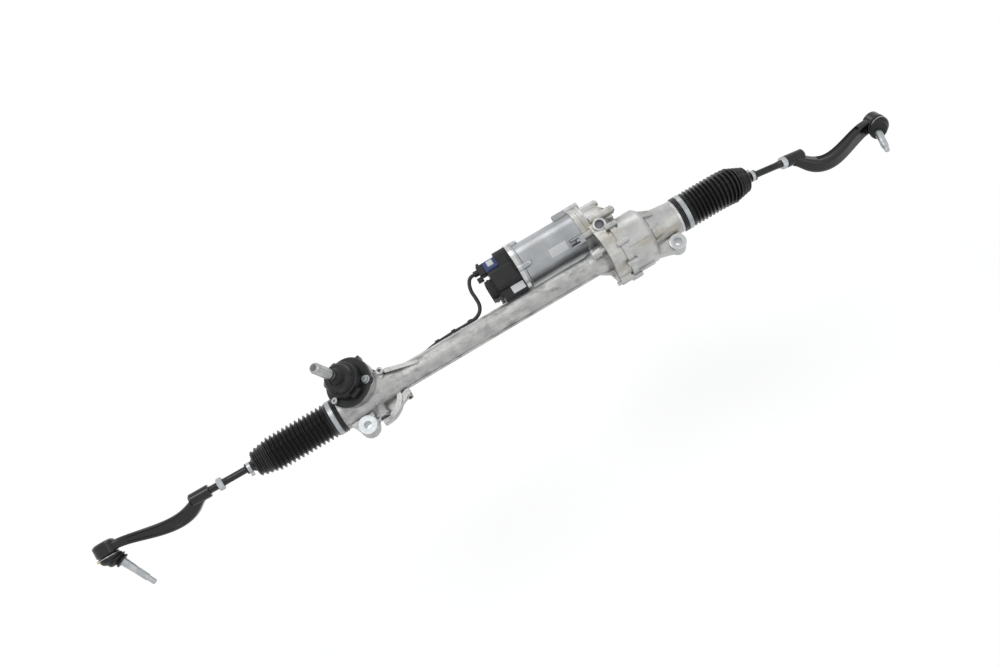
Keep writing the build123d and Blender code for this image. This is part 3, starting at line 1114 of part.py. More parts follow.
@dataclass
class ArmSection:
    """A section of the forged arm: how far before the ball, how far it bows out, and its size."""
    before: float
    bow: float
    tall: float
    wide: float


ARM = (
    ArmSection(172.0, 4.0, 18.0, 18.0),
    ArmSection(157.0, 14.0, 23.0, 21.0),
    ArmSection(139.0, 24.5, 25.0, 24.0),
    ArmSection(116.0, 28.4, 24.0, 25.0),
    ArmSection(90.0, 24.0, 22.0, 26.0),
    ArmSection(62.0, 14.0, 19.0, 27.0),
    ArmSection(36.0, 4.5, 16.5, 27.0),
    ArmSection(12.0, 0.0, 15.0, 25.0),
)
ARM_POCKET = 3.5             # depth of the recesses on the arm's two sides
ARM_RIM = 4.5


def arm_point(side, before, bow):
    turn = math.radians(ARM_TURN)
    return Vector(-before, -side.hand*bow*math.sin(turn), bow*math.cos(turn))


def arm_planes(side):
    """A plane across the arm at each of its sections; its X is the arm's width."""
    centres = [arm_point(side, section.before, section.bow) for section in ARM]
    planes = []
    for place, centre in enumerate(centres):
        before = centres[max(place-1, 0)]
        after = centres[min(place+1, len(centres)-1)]
        along = (after-before).normalized()
        wide = Vector(0, 1, 0)
        wide = (wide-along*wide.dot(along)).normalized()
        planes.append(Plane(origin=centre, x_dir=wide, z_dir=along))
    return planes


def arm_body(side):
    """The bowed arm, with a recess between rims on both of its sides."""
    planes = arm_planes(side)
    body = loft([plane*RectangleRounded(section.wide, section.tall, section.tall*0.3)
                 for plane, section in zip(planes, ARM)])
    for sign in (-1, 1):
        pocket = []
        for plane, section in list(zip(planes, ARM))[2:7]:
            shift = sign*section.wide/2
            height = section.tall-2*ARM_RIM
            pocket.append(plane*Pos(shift, 0)*RectangleRounded(2*ARM_POCKET, height, 2.0))
        body -= loft(pocket)
    return body


def tie_rod_end(side):
    """Forged end: threaded sleeve, bowed arm and the outer ball's housing."""
    start = -SLEEVE_TO_BALL
    sleeve = turned((start, 0), (start, SLEEVE_R-1), (start+1, SLEEVE_R), (start+SLEEVE_LENGTH-3, SLEEVE_R),
                    (start+SLEEVE_LENGTH, SLEEVE_R-3), (start+SLEEVE_LENGTH, 0))
    top, bottom = END_HOUSING_TOP, END_HOUSING_BOTTOM
    housing = upright((bottom, 0), (bottom, END_HOUSING_R-5), (bottom+2, END_HOUSING_R-1.5), (bottom+4, END_HOUSING_R),
                      (top-2, END_HOUSING_R), (top, END_HOUSING_R-1.5), (top, 0))
    housing -= along_z(END_HOUSING_R-6, bottom-1, bottom+0.8)
    body = sleeve+arm_body(side)+housing
    body -= along_x(ROD_R+PRESS, start-1, start+SLEEVE_LENGTH-3)
    body -= Sphere(END_BALL_R+SEAT_WALL)
    body -= upright((0, 0), (0, 8.5), (top+1, 14.2), (top+1, 0))
    return side.rod_frame()*Pos(side.reach, 0, 0)*body


def outer_seat(side):
    """Plastic seat of the outer ball."""
    shell = Sphere(END_BALL_R+SEAT_WALL-PRESS)-Sphere(END_BALL_R+RUNNING)
    shell -= block(-20, 20, -20, 20, 4, 20)
    return side.rod_frame()*Pos(side.reach, 0, 0)*shell


def stud_frame(side):
    """Origin at the outer ball, Z along the stud as it leans in the photograph."""
    return side.rod_frame()*Pos(side.reach, 0, 0)*Rot(Y=-STUD_LEAN)


def ball_stud(side):
    """Stud with its ball, taper, thread and dog point."""
    tip = STUD_TIP
    shank = upright((0, 0), (0, STUD_NECK_R), (12, STUD_NECK_R), (20, STUD_R+0.6), (STUD_TAPER_START, STUD_R),
                    (STUD_TAPER_END, STUD_THREAD_R+0.4), (STUD_TAPER_END+1.5, STUD_THREAD_R), (tip-15, STUD_THREAD_R),
                    (tip-13.5, STUD_THREAD_R-1.2), (tip-1.5, STUD_THREAD_R-1.4), (tip, STUD_THREAD_R-2.8), (tip, 0))
    return stud_frame(side)*(Sphere(END_BALL_R)+shank)


def stud_boot(side):
    """Rubber boot from the housing to the stud, with the wire ring at its foot."""
    housing = side.rod_frame()*Pos(side.reach, 0, 0)
    stud = stud_frame(side)
    foot = END_HOUSING_TOP+0.3
    low = Plane(Location(housing*Pos(0, 0, foot)))
    bulge = Plane(Location(housing*Rot(Y=-STUD_LEAN*0.45)*Pos(0, 0, foot+7)))
    high = Plane(Location(stud*Pos(0, 0, BOOT_TOP)))
    outer = loft([low*Circle(BOOT_BOTTOM_R), bulge*Circle(BOOT_BOTTOM_R+1.5), high*Circle(BOOT_TOP_R)])
    inner = loft([low*Circle(BOOT_BOTTOM_R-2), bulge*Circle(BOOT_BOTTOM_R-1), high*Circle(STUD_R+0.8)])
    lip = stud*ring_z(BOOT_TOP_R, STUD_R+0.5, BOOT_TOP, BOOT_TOP+3)
    return outer-inner+lip-stud*along_z(STUD_R+0.5, 0, BOOT_TOP+4)


def export(name, shapes):
    """Write one node, moved so that the origin lies at the lugs."""
    shapes = shapes if isinstance(shapes, list) else [shapes]
    solids = []
    for shape in shapes:
        solids += (TO_LUGS*shape).solids()
    node = solids[0] if len(solids) == 1 else Compound(children=solids)
    export_step(node, f"parts/{name}.step")


def both_sides(maker, name):
    for side in SIDES:
        export(f"{side.name}_{name}", maker(side))


def main():
    os.makedirs("parts", exist_ok=True)
    export("rack_housing", rack_housing())
    export("mount_bushes", mount_bushes())
    export("stop_rings", stop_rings())
    export("rack_bar", rack_bar())
    export("pinion", PINION*pinion())
    export("pinion_bearings", [PINION*ring for ring in pinion_bearings()])
    export("torsion_bar", PINION*torsion_bar())
    export("input_shaft", PINION*input_shaft())
    export("torque_sensor", torque_sensor())
    export("pinion_cover", pinion_cover())
    export("cover_screws", cover_screws())
    export("shaft_seal", shaft_seal())
    export("rack_yoke", yoke())
    export("yoke_spring", yoke_spring())
    export("yoke_plug", yoke_plug())
    export("belt_housing", belt_housing())
    export("inspection_plug", inspection_plug())
    export("nut_housing", nut_housing())
    export("nut_bearing", nut_bearing())
    export("ball_nut", ball_nut())
    export("recirculating_balls", recirculating_balls())
    export("large_pulley", large_pulley())
    export("small_pulley", small_pulley())
    export("toothed_belt", toothed_belt())
    export("motor_housing", motor_housing())
    export("motor_end_shield", motor_end_shield())
    export("motor_bearings", motor_bearings())
    export("motor_stator", motor_stator())
    export("motor_rotor", motor_rotor())
    export("control_unit_base", control_unit_base())
    export("control_unit_case", control_unit_case())
    export("circuit_board", circuit_board())
    export("power_header", power_header())
    export("signal_connector", signal_connector())
    export("cable_plugs", [connector_backshell(), sensor_plug()])
    export("sensor_cable", sensor_cable())
    export("cable_clips", cable_clips())
    export("housing_screws", housing_screws())
    both_sides(bellows, "bellows")
    both_sides(large_clamp, "large_clamp")
    both_sides(small_clamp, "small_clamp")
    both_sides(inner_joint, "inner_joint")
    both_sides(inner_seat, "inner_seat")
    both_sides(inner_tie_rod, "tie_rod")
    both_sides(lock_nut, "lock_nut")
    both_sides(tie_rod_end, "tie_rod_end")
    both_sides(outer_seat, "outer_seat")
    both_sides(ball_stud, "ball_stud")
    both_sides(stud_boot, "stud_boot")
    print("cable bend radii", [round(radius, 1) for radius in cable_radii()])


main()
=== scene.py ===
import json
import logging
import math
from dataclasses import dataclass
from enum import Enum
from typing import Iterable, Optional, Sequence

import bpy
import numpy as np
from mathutils import Matrix, Vector


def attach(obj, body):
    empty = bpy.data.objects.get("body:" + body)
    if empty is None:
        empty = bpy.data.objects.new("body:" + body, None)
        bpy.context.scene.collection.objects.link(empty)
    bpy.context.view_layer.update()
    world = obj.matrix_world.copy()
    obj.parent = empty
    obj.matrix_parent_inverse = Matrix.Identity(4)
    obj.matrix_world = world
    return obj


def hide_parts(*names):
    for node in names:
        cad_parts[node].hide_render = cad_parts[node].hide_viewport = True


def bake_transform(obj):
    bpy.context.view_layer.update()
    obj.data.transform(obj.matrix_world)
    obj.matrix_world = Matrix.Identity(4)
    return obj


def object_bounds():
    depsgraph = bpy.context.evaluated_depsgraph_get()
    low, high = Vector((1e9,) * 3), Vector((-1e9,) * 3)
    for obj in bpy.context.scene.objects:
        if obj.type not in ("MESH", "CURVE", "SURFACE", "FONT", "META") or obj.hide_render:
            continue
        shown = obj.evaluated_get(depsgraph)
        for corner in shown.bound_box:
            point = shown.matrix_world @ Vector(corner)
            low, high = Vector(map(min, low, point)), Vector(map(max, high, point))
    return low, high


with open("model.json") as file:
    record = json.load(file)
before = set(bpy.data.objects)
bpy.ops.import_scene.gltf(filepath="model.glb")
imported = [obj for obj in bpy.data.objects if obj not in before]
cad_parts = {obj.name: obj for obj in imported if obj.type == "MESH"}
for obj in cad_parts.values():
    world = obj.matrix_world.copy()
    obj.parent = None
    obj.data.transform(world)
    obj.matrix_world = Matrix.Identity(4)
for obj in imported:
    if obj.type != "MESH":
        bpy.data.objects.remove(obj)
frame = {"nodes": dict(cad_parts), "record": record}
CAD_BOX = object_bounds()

logging.basicConfig(level=logging.INFO, format="%(levelname)s %(name)s: %(message)s")
LOG = logging.getLogger("rack")

# Millimetres, but for the photograph's width in pixels. The bar's axis lies LUG_REACH from the lug
# bolts' line and LUG_HALF over the lugs' lower faces, and a clamp CLAMP_INSET from its neck's end.
MM = 0.001
PHOTO_WIDTH = 1000
LUG_REACH = 43.5
LUG_HALF = 14.0
LUG_SPACING = 594.0
CLAMP_INSET = 8.0


def part_point(x: float, y: float, z: float) -> np.ndarray:
    """Turn a point of the rack's own frame into the part's frame.

    Args:
        x: Millimetres along the rack, from midway between the lugs.
        y: Millimetres away from the lugs, from the rack's axis.
        z: Millimetres up, from the rack's axis.

    Returns:
        The point in metres, in the frame that the part is stored in.
    """
    return np.array([x, y+LUG_REACH, z+LUG_HALF])*MM


def turn_about(axis: str, degrees: float) -> np.ndarray:
    """Give the 3x3 matrix of a right-hand turn about one main axis."""
    return np.array(Matrix.Rotation(math.radians(degrees), 3, axis))


@dataclass(frozen=True)
class Place:
    """A frame in space: an origin in metres and three axes as a matrix's columns."""

    origin: np.ndarray
    axes: np.ndarray

    def out(self, points: np.ndarray) -> np.ndarray:
        """Carry points in millimetres from this frame to the part's frame, in metres."""
        return np.asarray(points, float)@self.axes.T*MM+self.origin

    def moved(self, x: float = 0.0, y: float = 0.0, z: float = 0.0) -> "Place":
        """Give the same axes at a point in millimetres of this frame."""
        return Place(self.out(np.array([x, y, z])), self.axes)

    def turned(self, axis: str, degrees: float) -> "Place":
        """Give this frame turned about one of its own axes."""
        return Place(self.origin, self.axes@turn_about(axis, degrees))

    def swung(self, reach: float, degrees: float, z: float = 0.0) -> "Place":
        """Give the same axes at a reach from Z, a turn away from X, and at a height."""
        turn = math.radians(degrees)
        return self.moved(reach*math.cos(turn), reach*math.sin(turn), z)


RACK = Place(part_point(0, 0, 0), np.eye(3))


class Body(str, Enum):
    """The bodies that pieces ride on."""

    HOUSING = "housing"
    RACK = "rack"
    INPUT_SHAFT = "input shaft"


# Materials


Socket = bpy.types.NodeSocket


def seen_directly(nodes: bpy.types.Nodes, links: bpy.types.NodeLinks) -> Socket:
    """Give 1 for rays from the camera and in reflections, and 0 for the light that they gather.

    Args:
        nodes: The nodes of a material or of the world.
        links: The links of the same tree.

    Returns:
        The larger of the two tests on the ray.
    """
    path = nodes.new("ShaderNodeLightPath")
    either = nodes.new("ShaderNodeMath")
    either.operation = "MAXIMUM"
    links.new(path.outputs["Is Camera Ray"], either.inputs[0])
    links.new(path.outputs["Is Glossy Ray"], either.inputs[1])
    return either.outputs[0]


class Wiring:
    """Wires the nodes of one material, with lengths in metres of the part's own space."""

    def __init__(self, name: str) -> None:
        """Make an empty node material.

        Args:
            name: The material's name.
        """
        self.material = bpy.data.materials.new(name)
        self.material.use_nodes = True
        self.tree = self.material.node_tree
        self.shader = self.tree.nodes["Principled BSDF"]
        self.space = self.node("ShaderNodeTexCoord").outputs["Object"]

    def node(self, kind: str, **values: object) -> bpy.types.Node:
        """Add a node.

        Args:
            kind: Its type.
            values: Its properties, or the constant values of its inputs.

        Returns:
            The node.
        """
        made = self.tree.nodes.new(kind)
        for key, value in values.items():
            if hasattr(made, key):
                setattr(made, key, value)
            else:
                made.inputs[key.replace("_", " ")].default_value = value
        return made

    def link(self, source: Socket, target: Socket) -> None:
        """Connect two sockets."""
        self.tree.links.new(source, target)

    def noise(self, size: float, detail: float = 3.0, roughness: float = 0.55,
              stretch: Optional[Sequence[float]] = None) -> Socket:
        """Add a noise in the part's space.

        Args:
            size: How far across its features are, in metres.
            detail: How many finer layers it has.
            roughness: How strong the finer layers are.
            stretch: Factors on the three axes, where it isn't even.

        Returns:
            The noise, from 0 to 1.
        """
        made = self.node("ShaderNodeTexNoise", Scale=1.0/size, Detail=detail, Roughness=roughness)
        source = self.space
        if stretch is not None:
            mapping = self.node("ShaderNodeMapping", Scale=stretch)
            self.link(source, mapping.inputs["Vector"])
            source = mapping.outputs["Vector"]
        self.link(source, made.inputs["Vector"])
        return made.outputs["Fac"]

    def ranged(self, source: Socket, band: Sequence[float], onto: Sequence[float] = (0.0, 1.0)) -> Socket:
        """Map a band of values onto another one, held at its ends.

        Args:
            source: The values.
            band: The lowest and the highest value that count.
            onto: What these two become.

        Returns:
            The mapped values.
        """
        made = self.node("ShaderNodeMapRange", From_Min=band[0], From_Max=band[1],
                         To_Min=onto[0], To_Max=onto[1])
        self.link(source, made.inputs["Value"])
        return made.outputs["Result"]

    def mixed(self, factor: Socket, first: object, second: object) -> Socket:
        """Mix two colours.

        Args:
            factor: 0 for the first one, 1 for the second one.
            first: A tuple or a socket.
            second: A tuple or a socket.

        Returns:
            The mixed colour.
        """
        made = self.node("ShaderNodeMix", data_type="RGBA")
        self.link(factor, made.inputs[0])
        for place, value in ((6, first), (7, second)):
            if isinstance(value, Socket):
                self.link(value, made.inputs[place])
            else:
                made.inputs[place].default_value = (*value, 1.0)
        return made.outputs[2]

    def bump(self, layers: Iterable[tuple[Socket, float]]) -> None:
        """Stack height layers onto the shader's normal.

        Args:
            layers: Each layer's heights and its depth in metres.
        """
        previous = None
        for height, depth in layers:
            made = self.node("ShaderNodeBump", Strength=1.0, Distance=depth)
            self.link(height, made.inputs["Height"])
            if previous is not None:
                self.link(previous, made.inputs["Normal"])
            previous = made.outputs["Normal"]
        if previous is not None:
            self.link(previous, self.shader.inputs["Normal"])


Colour = tuple[float, float, float]

# Where each noise starts and stops to count, how strongly, and how coarse it is against the grain
CLOUD_BAND = (0.35, 0.65)
SPECK_BAND = (0.3, 0.7)
SPECK_SIZE = 1.7
FLECK_BAND = (0.62, 0.8)
FLECK_SIZE = 3.1
FLECK_SHARE = 0.55
FLECK_SHADE = 0.93
# Streaks drawn out along X, the way reflections run along a tube: on the cast tube and the motor can their
# tone is painted reflection and shade, and on the die casting it is a real stain.
STAIN_AND_REFLECTION_BAND = (0.50, 0.66)
STAIN_AND_REFLECTION_SHARE = 0.85
STAIN_AND_REFLECTION_STRETCH = (0.45, 1.0, 1.0)


@dataclass(frozen=True)
class Finish:
    """One surface finish, with the values that its nodes take.

    The colour is a slow blend of two tones by a cloudy noise, with darker flecks and, on some
    finishes, streaks of a second tone drawn out along X. These are painted reflection and shade on
    the cast tube and the motor can, and a real stain on the die casting. The roughness follows a
    second noise, and the bump stacks a fine grain on a slow unevenness. Sizes and depths are in metres.
    """

    name: str
    tone: Colour
    other_tone: Colour
    metallic: float = 0.0
    roughness: tuple[float, float] = (0.4, 0.5)
    cloud: float = 0.02
    grain: float = 0.0005
    grain_depth: float = 0.00002
    wave: float = 0.006
    wave_depth: float = 0.00002
    coat: float = 0.0
    coat_roughness: float = 0.2
    specular: float = 0.5
    stretch: Optional[tuple[float, float, float]] = None
    stain_and_reflection_tone: Optional[Colour] = None
    stain_and_reflection_size: float = 0.016

    def build(self) -> bpy.types.Material:
        """Make the finish's nodes.

        Returns:
            The material.
        """
        wires = Wiring(self.name)
        shader = wires.shader
        cloud = wires.ranged(wires.noise(self.cloud, 4.0), CLOUD_BAND)
        speck = wires.ranged(wires.noise(self.grain*SPECK_SIZE, 2.0, stretch=self.stretch), SPECK_BAND)
        colour = wires.mixed(cloud, self.tone, self.other_tone)
        darker = tuple(channel*FLECK_SHADE for channel in self.tone)
        fleck = wires.ranged(wires.noise(self.grain*FLECK_SIZE, 2.0), FLECK_BAND, (0.0, FLECK_SHARE))
        colour = wires.mixed(fleck, colour, darker)
        # The streaks are painted reflection and shade on the cast tube and the motor can, and a real stain on
        # the die casting.
        if self.stain_and_reflection_tone is not None:
            streaks = wires.ranged(wires.noise(self.stain_and_reflection_size, 6.0, 0.68, STAIN_AND_REFLECTION_STRETCH), STAIN_AND_REFLECTION_BAND,
                                   (0.0, STAIN_AND_REFLECTION_SHARE))
            colour = wires.mixed(streaks, colour, self.stain_and_reflection_tone)
        wires.link(colour, shader.inputs["Base Color"])
        wires.link(wires.ranged(speck, (0.0, 1.0), self.roughness), shader.inputs["Roughness"])
        shader.inputs["Metallic"].default_value = self.metallic
        shader.inputs["Coat Weight"].default_value = self.coat
        shader.inputs["Coat Roughness"].default_value = self.coat_roughness
        shader.inputs["Specular IOR Level"].default_value = self.specular
        wires.bump([(wires.noise(self.wave, 2.0), self.wave_depth),
                    (wires.noise(self.grain, 3.0, stretch=self.stretch), self.grain_depth)])
        LOG.debug("finish %s", self.name)
        return wires.material


class Finishes(Enum):
    """Every finish on the part."""

    # The cast tube's dark streak tone is painted reflection and shade.
    CAST = Finish("cast_aluminium", (0.37, 0.375, 0.37), (0.52, 0.52, 0.51), metallic=0.9,
                  roughness=(0.36, 0.56), cloud=0.022, grain=0.0011, grain_depth=0.00010, wave=0.007,
                  wave_depth=0.00020, stain_and_reflection_tone=(0.21, 0.215, 0.21))
    DRIVE_CAST = Finish("die_cast_aluminium", (0.42, 0.425, 0.425), (0.56, 0.56, 0.55), metallic=0.9,
                        roughness=(0.32, 0.50), cloud=0.03, grain=0.0009, grain_depth=0.00007, wave=0.010,
                        wave_depth=0.00016, stain_and_reflection_tone=(0.36, 0.335, 0.27), stain_and_reflection_size=0.026)
    # The motor can's streak tone is painted reflection and shade.
    MOTOR = Finish("motor_aluminium", (0.31, 0.325, 0.34), (0.44, 0.455, 0.47), metallic=0.92,
                   roughness=(0.26, 0.42), cloud=0.05, grain=0.0007, grain_depth=0.00003, wave=0.02,
                   wave_depth=0.00008, stain_and_reflection_tone=(0.33, 0.335, 0.33), stain_and_reflection_size=0.03)
    MACHINED = Finish("machined_aluminium", (0.50, 0.51, 0.52), (0.60, 0.60, 0.60), metallic=0.95,
                      roughness=(0.20, 0.36), grain=0.0004, grain_depth=0.00001, wave=0.01,
                      stretch=(8.0, 1.0, 1.0))
    STEEL = Finish("ground_steel", (0.42, 0.42, 0.43), (0.50, 0.50, 0.50), metallic=1.0,
                   roughness=(0.18, 0.32), grain=0.0004, grain_depth=0.00001, wave=0.01,
                   stretch=(1.0, 6.0, 6.0))
    ZINC = Finish("zinc_plate", (0.40, 0.43, 0.44), (0.50, 0.52, 0.53), metallic=0.95, roughness=(0.30, 0.46),
                  cloud=0.012, grain_depth=0.00003, wave_depth=0.00006)
    # Painted shade: a dark steel tone laid on the port's floor and on the input shaft's end, where these are
    # in shade.
    PAINTED_SHADE_STEEL = Finish("painted_shade_steel", (0.13, 0.13, 0.14), (0.19, 0.19, 0.19), metallic=0.8,
                        roughness=(0.38, 0.55), cloud=0.01, grain_depth=0.00003, wave=0.004,
                        wave_depth=0.00003)
    BLACK_PAINT = Finish("black_paint", (0.004, 0.004, 0.004), (0.008, 0.008, 0.0075), roughness=(0.14, 0.26),
                         cloud=0.03, grain=0.0013, grain_depth=0.00008, wave=0.008, wave_depth=0.00018,
                         coat=0.3, coat_roughness=0.12, specular=0.32)
    BELLOWS = Finish("bellows_rubber", (0.005, 0.005, 0.006), (0.010, 0.010, 0.011), roughness=(0.20, 0.32),
                     cloud=0.03, grain=0.0006, wave=0.01, wave_depth=0.00005, specular=0.42)
    BOOT = Finish("boot_rubber", (0.008, 0.008, 0.010), (0.014, 0.014, 0.016), roughness=(0.34, 0.50),
                  grain=0.0006, wave_depth=0.00005, specular=0.35)
    CASE = Finish("case_plastic", (0.010, 0.010, 0.012), (0.016, 0.016, 0.018), roughness=(0.40, 0.54),
                  cloud=0.03, grain=0.0006, grain_depth=0.00004, wave=0.01, wave_depth=0.00004, specular=0.35)
    COVER = Finish("cover_plastic", (0.008, 0.0085, 0.010), (0.014, 0.0145, 0.016), roughness=(0.32, 0.46),
                   cloud=0.03, grain=0.0007, grain_depth=0.00003, wave=0.01, wave_depth=0.00004, specular=0.4)
    BLUE = Finish("blue_plastic", (0.045, 0.075, 0.20), (0.055, 0.09, 0.24), roughness=(0.30, 0.42),
                  grain=0.0006, wave=0.008, wave_depth=0.00003)
    CABLE = Finish("cable_jacket", (0.010, 0.010, 0.011), (0.016, 0.016, 0.017), roughness=(0.40, 0.55),
                   grain=0.0006, wave_depth=0.00003)
    SEAT = Finish("seat_plastic", (0.74, 0.72, 0.66), (0.80, 0.78, 0.72), roughness=(0.35, 0.45),
                  grain_depth=0.00001)
    BOARD = Finish("board_lacquer", (0.03, 0.13, 0.06), (0.04, 0.16, 0.08), roughness=(0.25, 0.4), cloud=0.01,
                   grain_depth=0.00001)
    LAMINATE = Finish("laminated_iron", (0.20, 0.19, 0.18), (0.26, 0.25, 0.24), metallic=0.9,
                      roughness=(0.45, 0.6), grain_depth=0.00004, stretch=(12.0, 1.0, 1.0))
    LABEL = Finish("blank_label", (0.88, 0.89, 0.90), (0.92, 0.93, 0.94), cloud=0.03, grain=0.0008,
                   grain_depth=0.00001, wave=0.01)
    ROD_STEEL = Finish("oiled_thread", (0.05, 0.05, 0.055), (0.08, 0.08, 0.085), metallic=0.6,
                       roughness=(0.30, 0.45), cloud=0.01, wave_depth=0.00003)
    BRASS = Finish("yellow_plate", (0.62, 0.50, 0.24), (0.70, 0.58, 0.30), metallic=0.9,
                   roughness=(0.28, 0.42), cloud=0.01, wave_depth=0.00003)


class FinishShelf:
    """Makes each finish's material once and hands it out."""

    def __init__(self) -> None:
        """Start with no material made."""
        self.made: dict[Finishes, bpy.types.Material] = {}

    def get(self, which: Finishes) -> bpy.types.Material:
        """Give a finish's material, made the first time that it is asked for.

        Args:
            which: The finish.

        Returns:
            The material, the same one each time.
        """
        if which not in self.made:
            self.made[which] = which.value.build()
        return self.made[which]


SHELF = FinishShelf()

SLOT_FINISH = {
    "cast_left": Finishes.CAST, "cast_drive": Finishes.DRIVE_CAST, "motor_can": Finishes.MOTOR,
    "machined_aluminium": Finishes.MACHINED, "steel": Finishes.STEEL, "zinc": Finishes.ZINC,
    "black_paint": Finishes.BLACK_PAINT, "bellows_rubber": Finishes.BELLOWS,
    "boot_rubber": Finishes.BOOT, "case_plastic": Finishes.CASE, "cover_plastic": Finishes.COVER,
    "blue_plastic": Finishes.BLUE, "cable_jacket": Finishes.CABLE, "seat_plastic": Finishes.SEAT,
    "board": Finishes.BOARD, "stator_laminate": Finishes.LAMINATE,
}


def dress_nodes() -> None:
    """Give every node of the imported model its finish, by the record's material slots."""
    for row in frame["record"]["subparts"]:
        node = frame["nodes"][row["node"]]
        finish = SLOT_FINISH[row["material_slot"]]
        node.data.materials.clear()
        node.data.materials.append(SHELF.get(finish))
        node.data.shade_smooth()
        LOG.debug("node %s takes %s", row["node"], finish.value.name)


# Studio


@dataclass(frozen=True)
class Softbox:
    """A large soft light: its place and its width in metres, and its power in watts."""

    name: str
    at: tuple[float, float, float]
    size: float
    power: float

    def build(self) -> None:
        """Hang the light, facing the part's middle."""
        lamp = bpy.data.lights.new(self.name, "AREA")
        lamp.shape = "DISK"
        lamp.size = self.size
        lamp.energy = self.power
        holder = bpy.data.objects.new(self.name, lamp)
        bpy.context.scene.collection.objects.link(holder)
        holder.location = self.at
        holder.rotation_euler = (-Vector(self.at)).to_track_quat("-Z", "Y").to_euler()


@dataclass(frozen=True)
class Studio:
    """Pale floor, soft lights and the camera at the photograph's viewing angle.

    The camera is set by its place and the point that it looks at, in millimetres of the rack's
    frame, and by its turn about the line of sight, which is counted from the direction of the
    rack bar. The other lengths are in metres, and the sensor's width is in its usual millimetres.
    """

    camera_at: tuple[float, float, float] = (-149.3, -627.1, 1973.6)
    aim: tuple[float, float, float] = (-33.84, -18.99, 0.0)
    turn: float = 30.6
    focal_pixels: float = 1246.0
    sensor: float = 36.0
    far_clip: float = 30.0
    floor_drop: float = 0.42
    floor_half: float = 14.0
    floor_tones: tuple[Colour, Colour] = ((0.93, 0.93, 0.93), (0.95, 0.95, 0.95))
    floor_cloud: float = 0.5
    floor_roughness: float = 0.8
    floor_specular: float = 0.1
    floor_glow: tuple[float, float] = (0.05, 0.5)
    room_tone: Colour = (0.40, 0.405, 0.41)
    lights: tuple[Softbox, ...] = (Softbox("key_light", at=(-0.9, 1.2, 2.6), size=1.2, power=14.0),
                                   Softbox("fill_light", at=(1.6, -1.0, 2.2), size=1.6, power=5.0),
                                   Softbox("rim_light", at=(0.4, 2.4, 0.9), size=1.0, power=5.0))

    def camera(self) -> None:
        """Make the camera and set it as the scene's."""
        at = Vector(part_point(*self.camera_at))
        forward = (Vector(part_point(*self.aim))-at).normalized()
        level = Vector((1, 0, 0))-forward*forward.x
        right = Matrix.Rotation(math.radians(self.turn), 3, forward)@level.normalized()
        up = right.cross(forward)
        data = bpy.data.cameras.new("photo_camera")
        data.sensor_width = self.sensor
        data.lens = self.sensor*self.focal_pixels/PHOTO_WIDTH
        data.clip_end = self.far_clip
        camera = bpy.data.objects.new("photo_camera", data)
        bpy.context.scene.collection.objects.link(camera)
        axes = Matrix((right, up, -forward)).transposed()
        camera.matrix_world = Matrix.Translation(at)@axes.to_4x4()
        bpy.context.scene.camera = camera

    def floor(self) -> None:
        """Lay the pale floor under the part."""
        low = float(CAD_BOX[0][2])-self.floor_drop
        mesh = bpy.data.meshes.new("floor")
        span = self.floor_half
        corners = [(-span, -span, low), (span, -span, low), (span, span, low), (-span, span, low)]
        mesh.from_pydata(corners, [], [(0, 1, 2, 3)])
        floor = bpy.data.objects.new("floor", mesh)
        bpy.context.scene.collection.objects.link(floor)
        wires = Wiring("pale_floor")
        inputs = wires.shader.inputs
        tone = wires.mixed(wires.noise(self.floor_cloud, 2.0), *self.floor_tones)
        wires.link(tone, inputs["Base Color"])
        inputs["Roughness"].default_value = self.floor_roughness
        inputs["Specular IOR Level"].default_value = self.floor_specular
        inputs["Emission Color"].default_value = (1, 1, 1, 1)
        seen = seen_directly(wires.tree.nodes, wires.tree.links)
        wires.link(wires.ranged(seen, (0.0, 1.0), self.floor_glow), inputs["Emission Strength"])
        mesh.materials.append(wires.material)

    def world(self) -> None:
        """Fill the room with soft white light."""
        world = bpy.data.worlds.new("studio")
        bpy.context.scene.world = world
        world.use_nodes = True
        nodes, links = world.node_tree.nodes, world.node_tree.links
        seen = seen_directly(nodes, links)
        mix = nodes.new("ShaderNodeMix")
        mix.data_type = "RGBA"
        mix.inputs[6].default_value = (*self.room_tone, 1)
        mix.inputs[7].default_value = (1, 1, 1, 1)
        links.new(seen, mix.inputs[0])
        links.new(mix.outputs[2], nodes["Background"].inputs["Color"])
        nodes["Background"].inputs["Strength"].default_value = 1.0
        bpy.context.scene.view_settings.view_transform = "Standard"

    def build(self) -> None:
        """Set up the whole studio."""
        self.camera()
        self.floor()
        self.world()
        for light in self.lights:
            light.build()


# Surfaces


def arc_turns(count: int) -> np.ndarray:
    """Give evenly spaced turns round a full circle, in radians from 0 and without the last one."""
    return np.radians(np.linspace(0, 360, count, endpoint=False))


def circle(turns: np.ndarray) -> np.ndarray:
    """Give the points (cos t, sin t) for each turn t."""
    return np.stack([np.cos(turns), np.sin(turns)], axis=1)


def rings_about_x(x: np.ndarray, radius: np.ndarray, turns: np.ndarray) -> np.ndarray:
    """Give rings of the points (x, r cos t, r sin t), for stations x, radii r and turns t."""
    shape = np.broadcast_shapes(x.shape, radius.shape, turns.shape)
    return np.stack([np.broadcast_to(x, shape), radius*np.cos(turns), radius*np.sin(turns)], axis=-1)


def rounded_loop(width: float, height: float, corner: float, per_corner: int = 6) -> np.ndarray:
    """Work out a rounded rectangle: each corner is a quarter circle about its own centre.

    Args:
        width: Its first measure.
        height: Its second measure.
        corner: The corners' radius.
        per_corner: How many points each corner has.

    Returns:
        The outline about (0, 0), counter-clockwise, as (n, 2) points.
    """
    turns = np.radians(np.linspace(0, 90, per_corner))[None, :]+np.radians([0, 90, 180, 270])[:, None]
    across = np.array([1, -1, -1, 1])[:, None]*(width/2-corner)
    along = np.array([1, 1, -1, -1])[:, None]*(height/2-corner)
    return np.stack([across+corner*np.cos(turns), along+corner*np.sin(turns)], axis=-1).reshape(-1, 2)


SHARP = 35.0
Profile = Sequence[tuple[float, float]]


